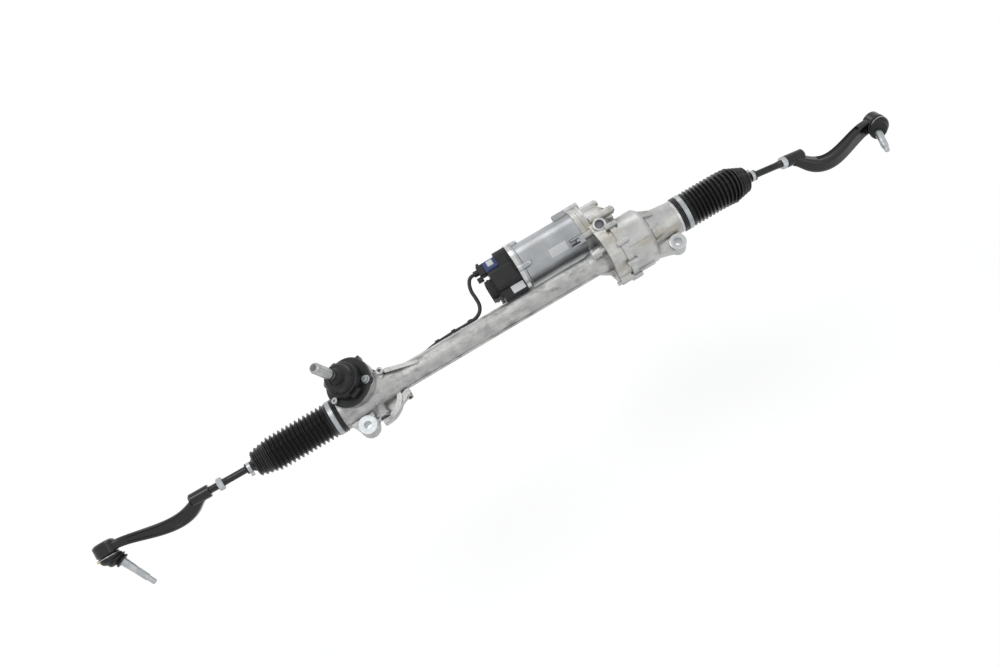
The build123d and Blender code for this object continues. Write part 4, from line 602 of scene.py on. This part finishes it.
class Shape:
    """The surfaces of one piece, gathered in millimetres of a frame and made into one mesh."""

    def __init__(self, place: Place) -> None:
        """Start with no surface.

        Args:
            place: The frame that the surfaces' points are given in.
        """
        self.place = place
        self.points: list[np.ndarray] = []
        self.faces: list[list[int]] = []
        self.count = 0

    def grid(self, points: np.ndarray, wrap_rows: bool = False) -> "Shape":
        """Add a closed surface on a grid of points whose columns run round.

        Args:
            points: Rows of rings, as a (rows, columns, 3) array in millimetres.
            wrap_rows: Join the last ring to the first one. Otherwise each gets a face.

        Returns:
            The shape itself. The faces are turned over if the volume that they hold comes out
            negative, which is a sixth of the sum of the triple products of each face's corners.
        """
        rows, columns = points.shape[:2]
        row = np.arange(rows if wrap_rows else rows-1)[:, None]*columns
        after = (row+columns)%(rows*columns)
        here = np.arange(columns)[None, :]
        beside = (here+1)%columns
        quads = np.stack([row+here, after+here, after+beside, row+beside], axis=-1).reshape(-1, 4)
        flat = points.reshape(-1, 3)
        a, b, c, d = (flat[quads[:, corner]] for corner in range(4))
        volume = np.einsum("ij,ij->", a, np.cross(b, c)+np.cross(c, d))
        faces = quads.tolist()
        if not wrap_rows:
            first = np.arange(columns)
            for ring in (first, (first+(rows-1)*columns)[::-1]):
                corners = flat[ring]
                volume += np.sum(np.cross(corners[1:-1], corners[2:])@corners[0])
                faces.append(ring.tolist())
        if volume < 0:
            faces = [face[::-1] for face in faces]
        self.faces += [[corner+self.count for corner in face] for face in faces]
        self.points.append(self.place.out(flat))
        self.count += len(flat)
        return self

    def lathe(self, profile: Profile, segments: int = 64, wrap: bool = False) -> "Shape":
        """Turn a profile about X: each point becomes (x, r cos t, r sin t) for each turn t.

        Args:
            profile: Points of x and radius r.
            segments: How many turns there are.
            wrap: Join the profile's last point to its first one.

        Returns:
            The shape itself.
        """
        table = np.array(profile, float)
        return self.grid(rings_about_x(table[:, :1], table[:, 1:], arc_turns(segments)), wrap_rows=wrap)

    def prism(self, loop: np.ndarray, stations: Profile) -> "Shape":
        """Draw a loop out along X, each point pulled towards the loop's middle by the inset.

        Args:
            loop: Points of y and z.
            stations: Pairs of x and inset.

        Returns:
            The shape itself.
        """
        middle = loop.mean(axis=0)
        rays = loop-middle
        lengths = np.linalg.norm(rays, axis=1, keepdims=True)
        table = np.array(stations, float)
        inset = table[:, 1][:, None, None]
        flat = middle+rays[None]*(1-inset/lengths[None])
        x = np.broadcast_to(table[:, 0][:, None, None], (*flat.shape[:2], 1))
        return self.grid(np.concatenate([x, flat], axis=-1))

    def piece(self, name: str, finish: Finishes, slot: str, sharp: float = SHARP) -> bpy.types.Object:
        """Make the object.

        Args:
            name: The piece's name.
            finish: Its finish.
            slot: The record's material slot, which is not used.
            sharp: Edges over this angle, in degrees, are left unsmoothed.

        Returns:
            The object, at the origin, with its place in its mesh.
        """
        mesh = bpy.data.meshes.new(name)
        mesh.from_pydata(np.concatenate(self.points).tolist(), [], self.faces)
        mesh.shade_smooth()
        mesh.set_sharp_from_angle(angle=math.radians(sharp))
        mesh.materials.append(SHELF.get(finish))
        made = bpy.data.objects.new(name, mesh)
        bpy.context.scene.collection.objects.link(made)
        LOG.info("piece %s: %d points, %d faces", name, self.count, len(self.faces))
        return made

    def ridden(self, name: str, finish: Finishes, slot: str, body: str = Body.HOUSING.value,
               sharp: float = SHARP) -> None:
        """Make the object, as piece() does, and let it move with a body, which is mostly the housing."""
        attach(self.piece(name, finish, slot, sharp), body)


# Ends of the rack


@dataclass(frozen=True)
class Side:
    """One end of the rack, with its X outwards and lengths in millimetres.

    The neck's end and the inner ball are counted from the rack's middle, the small cuff from the
    inner ball, and the outer ball's reach along the rod. The angles are in degrees.
    """

    name: str
    turn: float
    neck_end: float
    ball_out: float
    small_cuff_out: float
    yaw: float
    droop: float
    roll: float
    reach: float
    bare_thread: float

    def end(self) -> Place:
        """Give the end's frame, at the rack's middle."""
        return RACK.turned("Z", self.turn)

    def rod(self) -> Place:
        """Give the frame at the inner ball, X along the tie rod."""
        return self.end().moved(self.ball_out).turned("Z", self.yaw).turned("Y", self.droop)

    def outer(self) -> Place:
        """Give the frame at the outer ball, Z the way that its housing faces."""
        return self.rod().turned("X", self.roll).moved(self.reach)

    def body(self, part: str) -> str:
        """Give the name of one of this end's bodies."""
        return f"{self.name} {part}"


LEFT = Side("left", turn=180.0, neck_end=348.0, ball_out=432.0, small_cuff_out=68.7, yaw=0.0, droop=-3.0,
            roll=-105.0, reach=332.0, bare_thread=15.0)
RIGHT = Side("right", turn=0.0, neck_end=343.0, ball_out=412.0, small_cuff_out=61.0, yaw=-2.5, droop=14.0,
             roll=56.0, reach=321.0, bare_thread=0.0)
ROD_R = 6.0
SLEEVE_TO_BALL = 190.0
STUD_LEAN = -27.0
WIRE_AT = (12.9, 18.0)


@dataclass(frozen=True)
class Bellows:
    """Rubber bellows, from a ribbed lip on the housing's neck to the small cuff on the tie rod.

    The outer radius over the middle line's length s is valley + (crest - valley) * (0.5 + 0.5 cos
    2 pi (s - first) / pitch) ^ sharpness. Crest and valley are themselves curves through a few
    stations, so the last folds shrink: the valley falls by late_dip over two folds and ends
    last_rise under the last crest. The middle line runs along the rack's axis to the inner
    ball and bends there into the tie rod's line. The lip's lengths are counted from the neck's
    end, and the tail's from the small cuff. The wall is cut at rack_end and at swing_end.
    """

    side: Side
    first: float
    last: float
    folds: int
    crests: Profile
    rack_end: float
    swing_end: float
    sharpness: float = 1.25
    neck_valley: float = 28.1
    valley: float = 25.4
    neck_run: float = 6.0
    late_dip: float = 1.4
    last_rise: float = 3.2
    last_share: float = 0.42
    lip: Profile = ((-20.2, 28.0), (-19.8, 30.0), (-19.0, 30.9), (-17.8, 30.9), (-17.0, 30.0), (-16.4, 29.6),
                    (-15.8, 30.0), (-15.0, 30.9), (-13.8, 30.9), (-12.9, 30.0), (-12.3, 29.35), (-3.7, 29.35),
                    (-3.2, 30.1))
    lip_gap: float = 0.6
    tail: Profile = ((-12.5, 17.0), (-9.5, 12.6), (-7.0, 10.2), (-5.5, 9.2), (-4.4, 8.3), (3.6, 8.3),
                     (4.2, 9.3), (5.6, 9.3), (6.2, 8.4))
    tail_gap: float = 0.8
    wall: float = 1.3
    rows_per_fold: int = 14
    segments: int = 96
    bend_half: float = 26.0
    reach_in: float = 24.0
    reach_out: float = 10.0
    line_steps: int = 800
    seam_gap: float = 0.2
    cuff_lead: float = 5.0
    sharp: float = 80.0

    @property
    def pitch(self) -> float:
        """Give the distance from crest to crest."""
        return (self.last-self.first)/(self.folds-1)

    def profile(self) -> tuple[np.ndarray, np.ndarray]:
        """Work out the outer wall.

        Returns:
            The lengths along the middle line, and the outer radius at each.
        """
        neck, last, pitch = self.side.neck_end, self.last, self.pitch
        start, stop = self.first-pitch/2, last+pitch*self.last_share
        folded = np.arange(start, stop, pitch/self.rows_per_fold)
        known = np.array(self.crests)
        crest = np.interp(folded, known[:, 0], known[:, 1])
        valley = np.interp(folded, [neck, neck+self.neck_run, last-4*pitch, last-2*pitch, last],
                           [self.neck_valley, self.valley, self.valley, self.valley-self.late_dip,
                            known[-1, 1]-self.last_rise])
        wave = (0.5+0.5*np.cos(2*np.pi*(folded-self.first)/pitch))**self.sharpness
        radius = valley+(crest-valley)*wave
        cuff = self.side.ball_out+self.side.small_cuff_out
        lip = np.array([(neck+x, r) for x, r in self.lip if neck+x < start-self.lip_gap])
        tail = np.array([(cuff+x, r) for x, r in self.tail if cuff+x > folded[-1]+self.tail_gap])
        lengths = np.concatenate([lip[:, 0], folded, tail[:, 0]])
        return lengths, np.concatenate([lip[:, 1], radius, tail[:, 1]])

    def line(self, lengths: np.ndarray) -> tuple[np.ndarray, np.ndarray]:
        """Work out the middle line.

        The heading turns from X to the tie rod's by a smooth step over the bend, and the points
        are the running sum of the headings over short equal steps.

        Args:
            lengths: Lengths along the line.

        Returns:
            The line's points there, in the end's frame, and its headings.
        """
        rod = (turn_about("Z", self.side.yaw)@turn_about("Y", self.side.droop))[:, 0]
        ball = self.side.ball_out
        begin = self.side.neck_end-self.reach_in
        fine = np.linspace(begin, ball+self.side.small_cuff_out+self.reach_out, self.line_steps)
        share = np.clip((fine-ball+self.bend_half)/(2*self.bend_half), 0, 1)
        share = (share*share*(3-2*share))[:, None]
        heading = (1-share)*np.array([1.0, 0, 0])+share*rod
        heading /= np.linalg.norm(heading, axis=1, keepdims=True)
        steps = (heading[1:]+heading[:-1])/2*np.diff(fine)[:, None]
        points = np.concatenate([[[0.0, 0, 0]], np.cumsum(steps, axis=0)])+np.array([begin, 0, 0])
        return (np.stack([np.interp(lengths, fine, points[:, axis]) for axis in range(3)], axis=1),
                np.stack([np.interp(lengths, fine, heading[:, axis]) for axis in range(3)], axis=1))

    def wall_grid(self, lengths: np.ndarray, radius: np.ndarray) -> np.ndarray:
        """Set rings of the radius square to the middle line.

        Args:
            lengths: Lengths along the line.
            radius: The outer wall's radius at each.

        Returns:
            Rings of the outer wall, then rings of the inner wall on the way back.
        """
        points, heading = self.line(lengths)
        across = np.cross(np.array([0.0, 0, 1.0]), heading)
        across /= np.linalg.norm(across, axis=1, keepdims=True)
        up = np.cross(heading, across)
        turns = arc_turns(self.segments)[None, :, None]
        ring = across[:, None]*np.cos(turns)+up[:, None]*np.sin(turns)
        outer = points[:, None]+ring*radius[:, None, None]
        inner = points[:, None]+ring*(radius-self.wall)[:, None, None]
        return np.concatenate([outer, inner[::-1]])

    def build(self) -> None:
        """Make the three lengths of the bellows, cut where it crosses the joints."""
        lengths, radius = self.profile()
        side = self.side
        cuff = side.ball_out+side.small_cuff_out
        housing, rack = Body.HOUSING.value, Body.RACK.value
        swing, rod = side.body("swing"), side.body("tie rod")
        spans = ((lengths[0], self.rack_end, housing, rack, side.neck_end-CLAMP_INSET),
                 (self.rack_end, self.swing_end, rack, swing, self.rack_end),
                 (self.swing_end, lengths[-1], swing, rod, self.swing_end))
        for place, (low, high, before, after, start) in enumerate(spans):
            inside = lengths[(lengths > low+self.seam_gap) & (lengths < high-self.seam_gap)]
            stations = np.unique(np.concatenate([[low], inside, [high]]))
            grid = self.wall_grid(stations, np.interp(stations, lengths, radius))
            shape = Shape(side.end()).grid(grid, wrap_rows=True)
            node = f"{side.name}_bellows"
            made = shape.piece(f"{node}_{place+1}", Finishes.BELLOWS, "bellows_rubber", self.sharp)
            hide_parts(node)
            ends = self.line(np.array([start, min(high, cuff-self.cuff_lead)]))[0]
            begin, finish = (tuple(point) for point in side.end().out(ends))
            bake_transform(made)


@dataclass(frozen=True)
class StudBoot:
    """Folded rubber boot of an outer ball joint.

    Each ring lies at z along an axis through the ball, which turns from the housing's axis to the
    stud's by a smooth step over the boot's height, and has the radius that the profile gives.
    """

    side: Side
    profile: Profile = (
        (9.9, 16.2), (10.2, 17.6), (11.2, 18.4), (12.6, 17.6), (13.2, 17.2), (14.2, 18.4), (16.0, 19.1),
        (18.0, 18.9), (19.8, 17.6), (21.0, 16.0), (21.8, 15.2), (22.6, 15.3), (23.8, 16.2), (25.2, 16.3),
        (26.6, 15.2), (27.8, 13.0), (28.7, 11.2), (29.5, 10.5), (30.2, 10.9), (31.0, 12.2), (32.2, 12.9),
        (33.4, 12.7), (34.0, 11.4), (34.1, 9.4), (34.0, 7.9))
    wall: float = 2.56
    hole_r: float = 7.7
    foot: float = 10.0
    foot_rise: float = 0.3
    top: float = 31.0
    inner_top: float = 33.2
    segments: int = 72
    rows: int = 90
    wire_r: float = 0.8
    sharp: float = 70.0

    def ring_grid(self, heights: np.ndarray, radius: np.ndarray) -> np.ndarray:
        """Set rings square to the turning axis.

        Args:
            heights: Heights along the axis.
            radius: The radius at each.

        Returns:
            The rings, in the outer ball's frame.
        """
        share = np.clip((heights-self.foot)/(self.top-self.foot), 0, 1)
        lean = np.radians(STUD_LEAN)*share*share*(3-2*share)
        turns = arc_turns(self.segments)
        x, y = radius[:, None]*np.cos(turns), radius[:, None]*np.sin(turns)
        z = np.repeat(heights[:, None], self.segments, axis=1)
        cos, sin = np.cos(lean)[:, None], np.sin(lean)[:, None]
        return np.stack([x*cos+z*sin, y, z*cos-x*sin], axis=-1)

    def build(self) -> None:
        """Make the boot, its axis turning to the stud's lean over its height, and the wire ring at its foot.
        """
        table = np.array(self.profile)
        run = np.concatenate([[0], np.cumsum(np.linalg.norm(np.diff(table, axis=0), axis=1))])
        even = np.linspace(0, run[-1], self.rows)
        heights, radius = (np.interp(even, run, table[:, column]) for column in range(2))
        inner_r = np.maximum(radius[::-1]-self.wall, self.hole_r)
        inner_z = np.minimum(heights[::-1], self.inner_top)
        inner_z[-1] = self.foot+self.foot_rise
        rings = self.ring_grid(np.concatenate([heights, inner_z]), np.concatenate([radius, inner_r]))
        shape = Shape(self.side.outer()).grid(rings, wrap_rows=True)
        boot = shape.piece(f"{self.side.name}_folded_boot", Finishes.BOOT, "boot_rubber", self.sharp)
        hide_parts(f"{self.side.name}_stud_boot")
        place = self.side.outer()
        start = place.out(np.array([0, 0, self.foot]))
        end = place.turned("Y", STUD_LEAN).out(np.array([0, 0, self.top]))
        self.side.body("tie rod")
        self.side.body("boot")
        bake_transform(boot)
        self.wire()

    def wire(self) -> None:
        """Make the spring wire in the groove of the foot: circles carried round a circle."""
        z, reach = WIRE_AT
        ring = [(z+self.wire_r*math.cos(turn), reach+self.wire_r*math.sin(turn)) for turn in arc_turns(24)]
        shape = Shape(self.side.outer().turned("Y", -90)).lathe(ring, 72, wrap=True)
        shape.ridden(f"{self.side.name}_foot_wire", Finishes.STEEL, "steel", self.side.body("tie rod"))


@dataclass(frozen=True)
class Thread:
    """A helical thread over a plain rod.

    The radius is the rod's, less sink, plus depth * (1 - |2 f - 1|), where f is the fractional
    part of x / pitch - turn, so the ridge climbs by one pitch a turn. It fades out at both ends.
    """

    pitch: float = 1.5
    depth: float = 0.62
    sink: float = 0.22
    steps_per_pitch: int = 8
    segments: int = 48

    def grid(self, rod_r: float, start: float, stop: float) -> np.ndarray:
        """Work out the thread between two stations.

        Args:
            rod_r: The plain rod's radius.
            start: The first station along X.
            stop: The last station.

        Returns:
            The thread's rings.
        """
        rows = int((stop-start)/self.pitch*self.steps_per_pitch)
        x = np.linspace(start, stop, rows)[:, None]
        turns = arc_turns(self.segments)[None]
        phase = (x/self.pitch-turns/(2*np.pi)) % 1.0
        fade = np.clip(np.minimum(x-start, stop-x)/self.pitch, 0, 1)
        radius = rod_r-self.sink+self.depth*(1-np.abs(2*phase-1))*fade
        return rings_about_x(x, radius, turns)


@dataclass(frozen=True)
class RodHardware:
    """Threads, the large clamp's pressed band and the boot's clip of one end.

    The band's points are lengths from its edge and heights over the clamp's radius.
    """

    side: Side
    thread: Thread = Thread()
    stud_thread_r: float = 5.9
    stud_thread: tuple[float, float] = (58.8, 81.6)
    rod_thread_run: float = 20.0
    rod_thread_gap: float = 0.4
    clamp_r: float = 30.4
    clamp_half: float = 4.0
    band: Profile = ((0.0, -0.5), (0.0, 0.05), (0.9, 0.05), (1.3, 0.75), (2.5, 0.75), (2.9, 0.05),
                     (3.5, 0.05))
    clip_turn: float = 2.0
    clip_reach: float = 20.2
    clip_size: tuple[float, float, float] = (3.2, 4.4, 0.8)
    clip_stations: Profile = ((-1.4, 0.4), (-1.0, 0), (1.3, 0), (1.8, 0.6))
    fine_sharp: float = 20.0

    def threads(self) -> None:
        """Make the rod's bare thread and the stud's thread."""
        side = self.side
        end = side.reach-SLEEVE_TO_BALL
        start = end-side.bare_thread-self.rod_thread_run
        rod = Shape(side.rod()).grid(self.thread.grid(ROD_R, start, end-self.rod_thread_gap))
        rod.ridden(f"{side.name}_rod_thread", Finishes.ROD_STEEL, "black_paint", side.body("tie rod"),
                   self.fine_sharp)
        stud = Shape(side.outer().turned("Y", STUD_LEAN).turned("Y", -90))
        stud.grid(self.thread.grid(self.stud_thread_r, *self.stud_thread))
        stud.ridden(f"{side.name}_stud_thread", Finishes.ZINC, "zinc", side.body("stud"), self.fine_sharp)

    def clamp(self) -> None:
        """Make the large clamp's pressed band: half a profile and its mirror image, turned about the neck."""
        near = [(x-self.clamp_half, self.clamp_r+rise) for x, rise in self.band]
        profile = near+[(-x, radius) for x, radius in near[::-1]]
        shape = Shape(self.side.end().moved(self.side.neck_end-CLAMP_INSET)).lathe(profile, 96, wrap=True)
        shape.ridden(f"{self.side.name}_clamp_band", Finishes.ZINC, "zinc")

    def clip(self) -> None:
        """Make the small bent clip at the foot of the boot: a rounded block in the wire's plane."""
        at = self.side.outer().swung(self.clip_reach, self.clip_turn, WIRE_AT[0])
        shape = Shape(at.turned("Z", self.clip_turn))
        shape.prism(rounded_loop(*self.clip_size, 4), self.clip_stations)
        shape.ridden(f"{self.side.name}_boot_clip", Finishes.BRASS, "zinc", self.side.body("tie rod"))

    def build(self) -> None:
        """Make all of it."""
        self.threads()
        self.clamp()
        if self.side is LEFT:
            self.clip()


# Input shaft


PINION_AT = (-275.0, 18.8, 0)
PINION_ROLL = -11.7
PINION_LEAN = -17.5
PINION = RACK.turned("X", PINION_ROLL).moved(*PINION_AT).turned("Y", PINION_LEAN)


@dataclass(frozen=True)
class Splines:
    """Splined sleeve of the input shaft: the radius rises and falls as a clipped cosine of the turn.

    The groove and the centre, a dark disc of painted shade on the end, are profiles of the height over the
    crossing and the radius.
    """

    place: Place
    count: int = 36
    shaft_r: float = 8.75
    start: float = 107.5
    stop: float = 144.2
    chamfers: tuple[float, float] = (1.2, 1.4)
    depth: float = 0.55
    sink: float = 0.12
    end_drop: float = 0.15
    steepness: float = 1.1
    per_spline: int = 8
    sharp: float = 25.0
    groove: Profile = ((100.2, 8.6), (100.5, 9.05), (101.2, 8.95), (103.0, 8.82), (104.8, 8.95),
                       (105.5, 9.05), (105.8, 8.6))
    centre: Profile = ((145.2, 5.6), (146.02, 5.9), (146.15, 5.3), (146.1, 3.0), (146.05, 0.4))

    def build(self) -> None:
        """Make the splines with chamfered ends, the rings of the bolt's groove and a dark disc of painted
        shade on the end's centre.
        """
        turns = arc_turns(self.count*self.per_spline)[None]
        ends = [self.start, self.start+self.chamfers[0], self.stop-self.chamfers[1], self.stop]
        x = np.array(ends)[:, None]
        rise = np.array([0.0, 1.0, 1.0, 0.0])[:, None]
        tooth = np.clip(0.5+self.steepness*np.cos(self.count*turns), 0, 1)
        radius = self.shaft_r-self.sink+rise*(self.depth*tooth)+(1-rise)*-self.end_drop
        along = self.place.turned("Y", -90)
        shape = Shape(along).grid(rings_about_x(x, radius, turns))
        shape.ridden("input_splines", Finishes.STEEL, "steel", Body.INPUT_SHAFT.value, self.sharp)
        shape = Shape(along).lathe(self.groove, 64, wrap=True)
        shape.ridden("input_bolt_groove", Finishes.ROD_STEEL, "steel", Body.INPUT_SHAFT.value)
        # Painted shade: a dark disc over the middle of the shaft's end face.
        shape = Shape(along).lathe(self.centre, 48)
        shape.ridden("input_end_shade", Finishes.PAINTED_SHADE_STEEL, "steel", Body.INPUT_SHAFT.value)


# Trim of the castings


@dataclass(frozen=True)
class CastingTrim:
    """Small forms of the castings: web in the guard, sleeve round the flange's screw, turned faces, rims.

    Turned pieces have profiles of the place along their axis and the radius there.
    """

    guard_centre: tuple[float, float] = (-267.0, -8.0)
    guard_reach: float = 39.0
    web_turns: tuple[float, float] = (-84.0, -16.0)
    web_back: Profile = ((-234.0, -14.0), (-250.0, -14.0), (-260.5, -20.0), (-262.5, -34.0))
    web_levels: Profile = ((-10.0, 0.6), (-9.4, 0.0), (-3.2, 0.0), (-2.4, 0.8))
    sleeve_at: tuple[float, float, float] = (0.0, 2.0, 37.0)
    sleeve: Profile = ((175.5, 7.6), (160.5, 7.2), (159.3, 6.6), (158.8, 5.6), (159.0, 4.6), (160.0, 4.0),
                       (167.0, 3.8), (175.5, 3.7))
    lug_face: Profile = ((13.6, 9.3), (14.18, 9.4), (14.25, 9.8), (14.25, 13.4), (13.9, 14.2), (13.6, 14.2))
    neck_band: Profile = ((317.6, 28.3), (317.8, 29.0), (321.6, 29.0), (322.3, 28.6), (322.3, 28.0),
                          (317.6, 28.0))
    washer: Profile = ((51.6, 5.2), (52.8, 5.3), (53.0, 5.7), (52.9, 6.7), (52.4, 7.2), (51.6, 7.2))
    washer_turns: tuple[tuple[str, float], ...] = (("cover_rim_front", -32.0), ("cover_rim_back", 145.0))
    screw_reach: float = 36.5
    port_at: tuple[float, float, float] = (199.5, 45.0, 0.0)
    port_shade_floor: Profile = ((30.6, 7.5), (31.1, 7.95), (31.5, 7.2), (31.3, 3.5), (31.25, 0.4))
    port_rim: Profile = ((35.2, 8.0), (35.7, 8.3), (35.95, 9.0), (35.9, 10.2), (35.6, 11.0), (35.2, 11.2))
    cleats_at: Profile = ((-101.5, 20.4), (-84.5, 20.4), (-68.0, 19.6), (-50.0, 19.6), (-36.0, 19.6))
    cleat_size: tuple[float, float, float] = (2.4, 5.0, 0.7)
    cleat_levels: Profile = ((-1.6, 0.3), (-1.2, 0), (1.6, 0), (2.2, 0.5))
    sleeve_sharp: float = 50.0
    port_sharp: float = 60.0

    def port(self) -> None:
        """Turn the bright rim of the cup in the belt casting's port, and its floor in a dark tone that is
        painted shade of the bore.
        """
        place = RACK.moved(*self.port_at).turned("Y", -90)
        rim = Shape(place).lathe(self.port_rim, 64, wrap=True)
        rim.ridden("port_cup_rim", Finishes.MACHINED, "machined_aluminium", sharp=self.port_sharp)
        # Painted shade: the dark floor stands for the depth of the bore.
        floor = Shape(place).lathe(self.port_shade_floor, 64)
        floor.ridden("port_shaded_floor", Finishes.PAINTED_SHADE_STEEL, "steel", sharp=self.port_sharp)

    def web(self) -> None:
        """Fill the guard's hollow beside the yoke: an arc of a circle closed along the casting."""
        turns = np.radians(np.linspace(*self.web_turns, 18))
        arc = np.array(self.guard_centre)+self.guard_reach*circle(turns)
        outline = np.concatenate([arc, self.web_back])
        loop = np.stack([outline[:, 1], -outline[:, 0]], axis=1)
        shape = Shape(RACK.turned("Y", -90)).prism(loop, self.web_levels)
        shape.ridden("guard_web", Finishes.CAST, "cast_left")

    def sleeve_boss(self) -> None:
        """Turn the deep sleeve that the flange's upper screw sits in."""
        shape = Shape(RACK.moved(*self.sleeve_at)).lathe(self.sleeve, 48, wrap=True)
        shape.ridden("flange_screw_sleeve", Finishes.DRIVE_CAST, "cast_drive", sharp=self.sleeve_sharp)

    def faces(self) -> None:
        """Turn the right lug's cut face and the cut band beside the right neck."""
        lug = RACK.moved(LUG_SPACING/2, -LUG_REACH, 0).turned("Y", -90)
        shape = Shape(lug).lathe(self.lug_face, 64, wrap=True)
        shape.ridden("right_lug_cut_face", Finishes.MACHINED, "machined_aluminium")
        shape = Shape(RACK).lathe(self.neck_band, 96, wrap=True)
        shape.ridden("right_neck_band", Finishes.MACHINED, "machined_aluminium")

    def washers(self) -> None:
        """Turn the wide rim under two of the cover's screws."""
        for name, angle in self.washer_turns:
            at = PINION.swung(self.screw_reach, angle).turned("Y", -90)
            shape = Shape(at).lathe(self.washer, 40, wrap=True)
            shape.ridden(name, Finishes.ZINC, "zinc")

    def cleats(self) -> None:
        """Set five small cleats along the tube's upper fin, each a rounded block drawn upwards."""
        shape = Shape(RACK)
        for x, y in self.cleats_at:
            shape.place = RACK.moved(x, y, 0).turned("Y", -90)
            shape.prism(rounded_loop(*self.cleat_size, 4), self.cleat_levels)
        shape.ridden("tube_cleats", Finishes.CAST, "cast_left")

    def build(self) -> None:
        """Make all of it."""
        self.web()
        self.sleeve_boss()
        self.port()
        self.faces()
        self.washers()
        self.cleats()


# Labels and the comb ring


MOTOR_AT = (0, 66.0, -20.0)
MOTOR = RACK.moved(*MOTOR_AT)


@dataclass(frozen=True)
class Labels:
    """Blank labels, and the ribbed ring between the control unit's case and its base.

    Each flat label has a name, its middle as x, y and z, its width and its height.
    """

    motor_r: float = 42.0
    motor_turns: tuple[float, float] = (103.5, 124.5)
    motor_span: tuple[float, float] = (105.5, 138.0)
    thick: float = 0.25
    sink: float = 0.3
    flat: tuple[tuple[str, float, float, float, float, float], ...] = (
        ("case_label", 31.7, 29.4, 15.0, 23.4, 13.6), ("connector_label", 12.0, 92.5, 12.5, 11.0, 10.0))
    corner: float = 0.8
    chamfer: float = 0.2
    teeth: int = 64
    comb_r: float = 46.9
    comb_depth: float = 1.1
    comb_steepness: float = 2.0
    comb_stations: Profile = ((43.0, 0.5), (43.4, 0), (45.7, 0), (46.0, 0.4))
    comb_sharp: float = 25.0

    def on_motor(self) -> None:
        """Lay the motor's label on the can: a band of a cylinder between two turns."""
        arc = circle(np.radians(np.linspace(*self.motor_turns, 16)))
        loop = np.concatenate([arc*(self.motor_r+self.thick), arc[::-1]*(self.motor_r-self.sink)])
        shape = Shape(MOTOR).prism(loop, [(x, 0) for x in self.motor_span])
        shape.ridden("motor_label", Finishes.LABEL, "seat_plastic")

    def on_case(self) -> None:
        """Lay the control unit's labels flat on its case and on its blue connector."""
        stations = [(-self.sink, 0), (self.thick*0.7, 0), (self.thick, self.chamfer)]
        for name, x, y, z, width, height in self.flat:
            place = RACK.moved(x, y, z).turned("Y", -90)
            shape = Shape(place).prism(rounded_loop(height, width, self.corner), stations)
            shape.ridden(name, Finishes.LABEL, "seat_plastic")

    def comb(self) -> None:
        """Make the ribbed ring: its radius is a clipped cosine, with one wave for each tooth."""
        turns = arc_turns(self.teeth*6)
        wave = np.clip(0.5+self.comb_steepness*np.cos(self.teeth*turns), 0, 1)
        loop = (self.comb_r+self.comb_depth*wave)[:, None]*circle(turns)
        shape = Shape(MOTOR).prism(loop, self.comb_stations)
        shape.ridden("comb_ring", Finishes.CASE, "case_plastic", sharp=self.comb_sharp)

    def build(self) -> None:
        """Make all of it."""
        self.on_motor()
        self.on_case()
        self.comb()


def main() -> None:
    """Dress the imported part, build its pieces and set up the studio."""
    Studio().build()
    dress_nodes()
    Bellows(LEFT, first=351.9, last=487.3, folds=18, rack_end=467.5, swing_end=470.5,
            crests=((348, 30.4), (355, 30.8), (455, 30.8), (463.6, 28.0), (471.5, 26.3), (479.4, 25.0),
                    (487.3, 22.5))).build()
    Bellows(RIGHT, first=344.3, last=456.1, folds=17, rack_end=426.5, swing_end=430.5,
            crests=((343, 30.4), (350, 31.0), (428, 31.0), (435.2, 28.6), (442.2, 26.6), (449.1, 24.6),
                    (456.1, 22.4))).build()
    for side in (LEFT, RIGHT):
        StudBoot(side).build()
        RodHardware(side).build()
    Splines(PINION).build()
    CastingTrim().build()
    Labels().build()


if __name__ == "__main__":
    main()
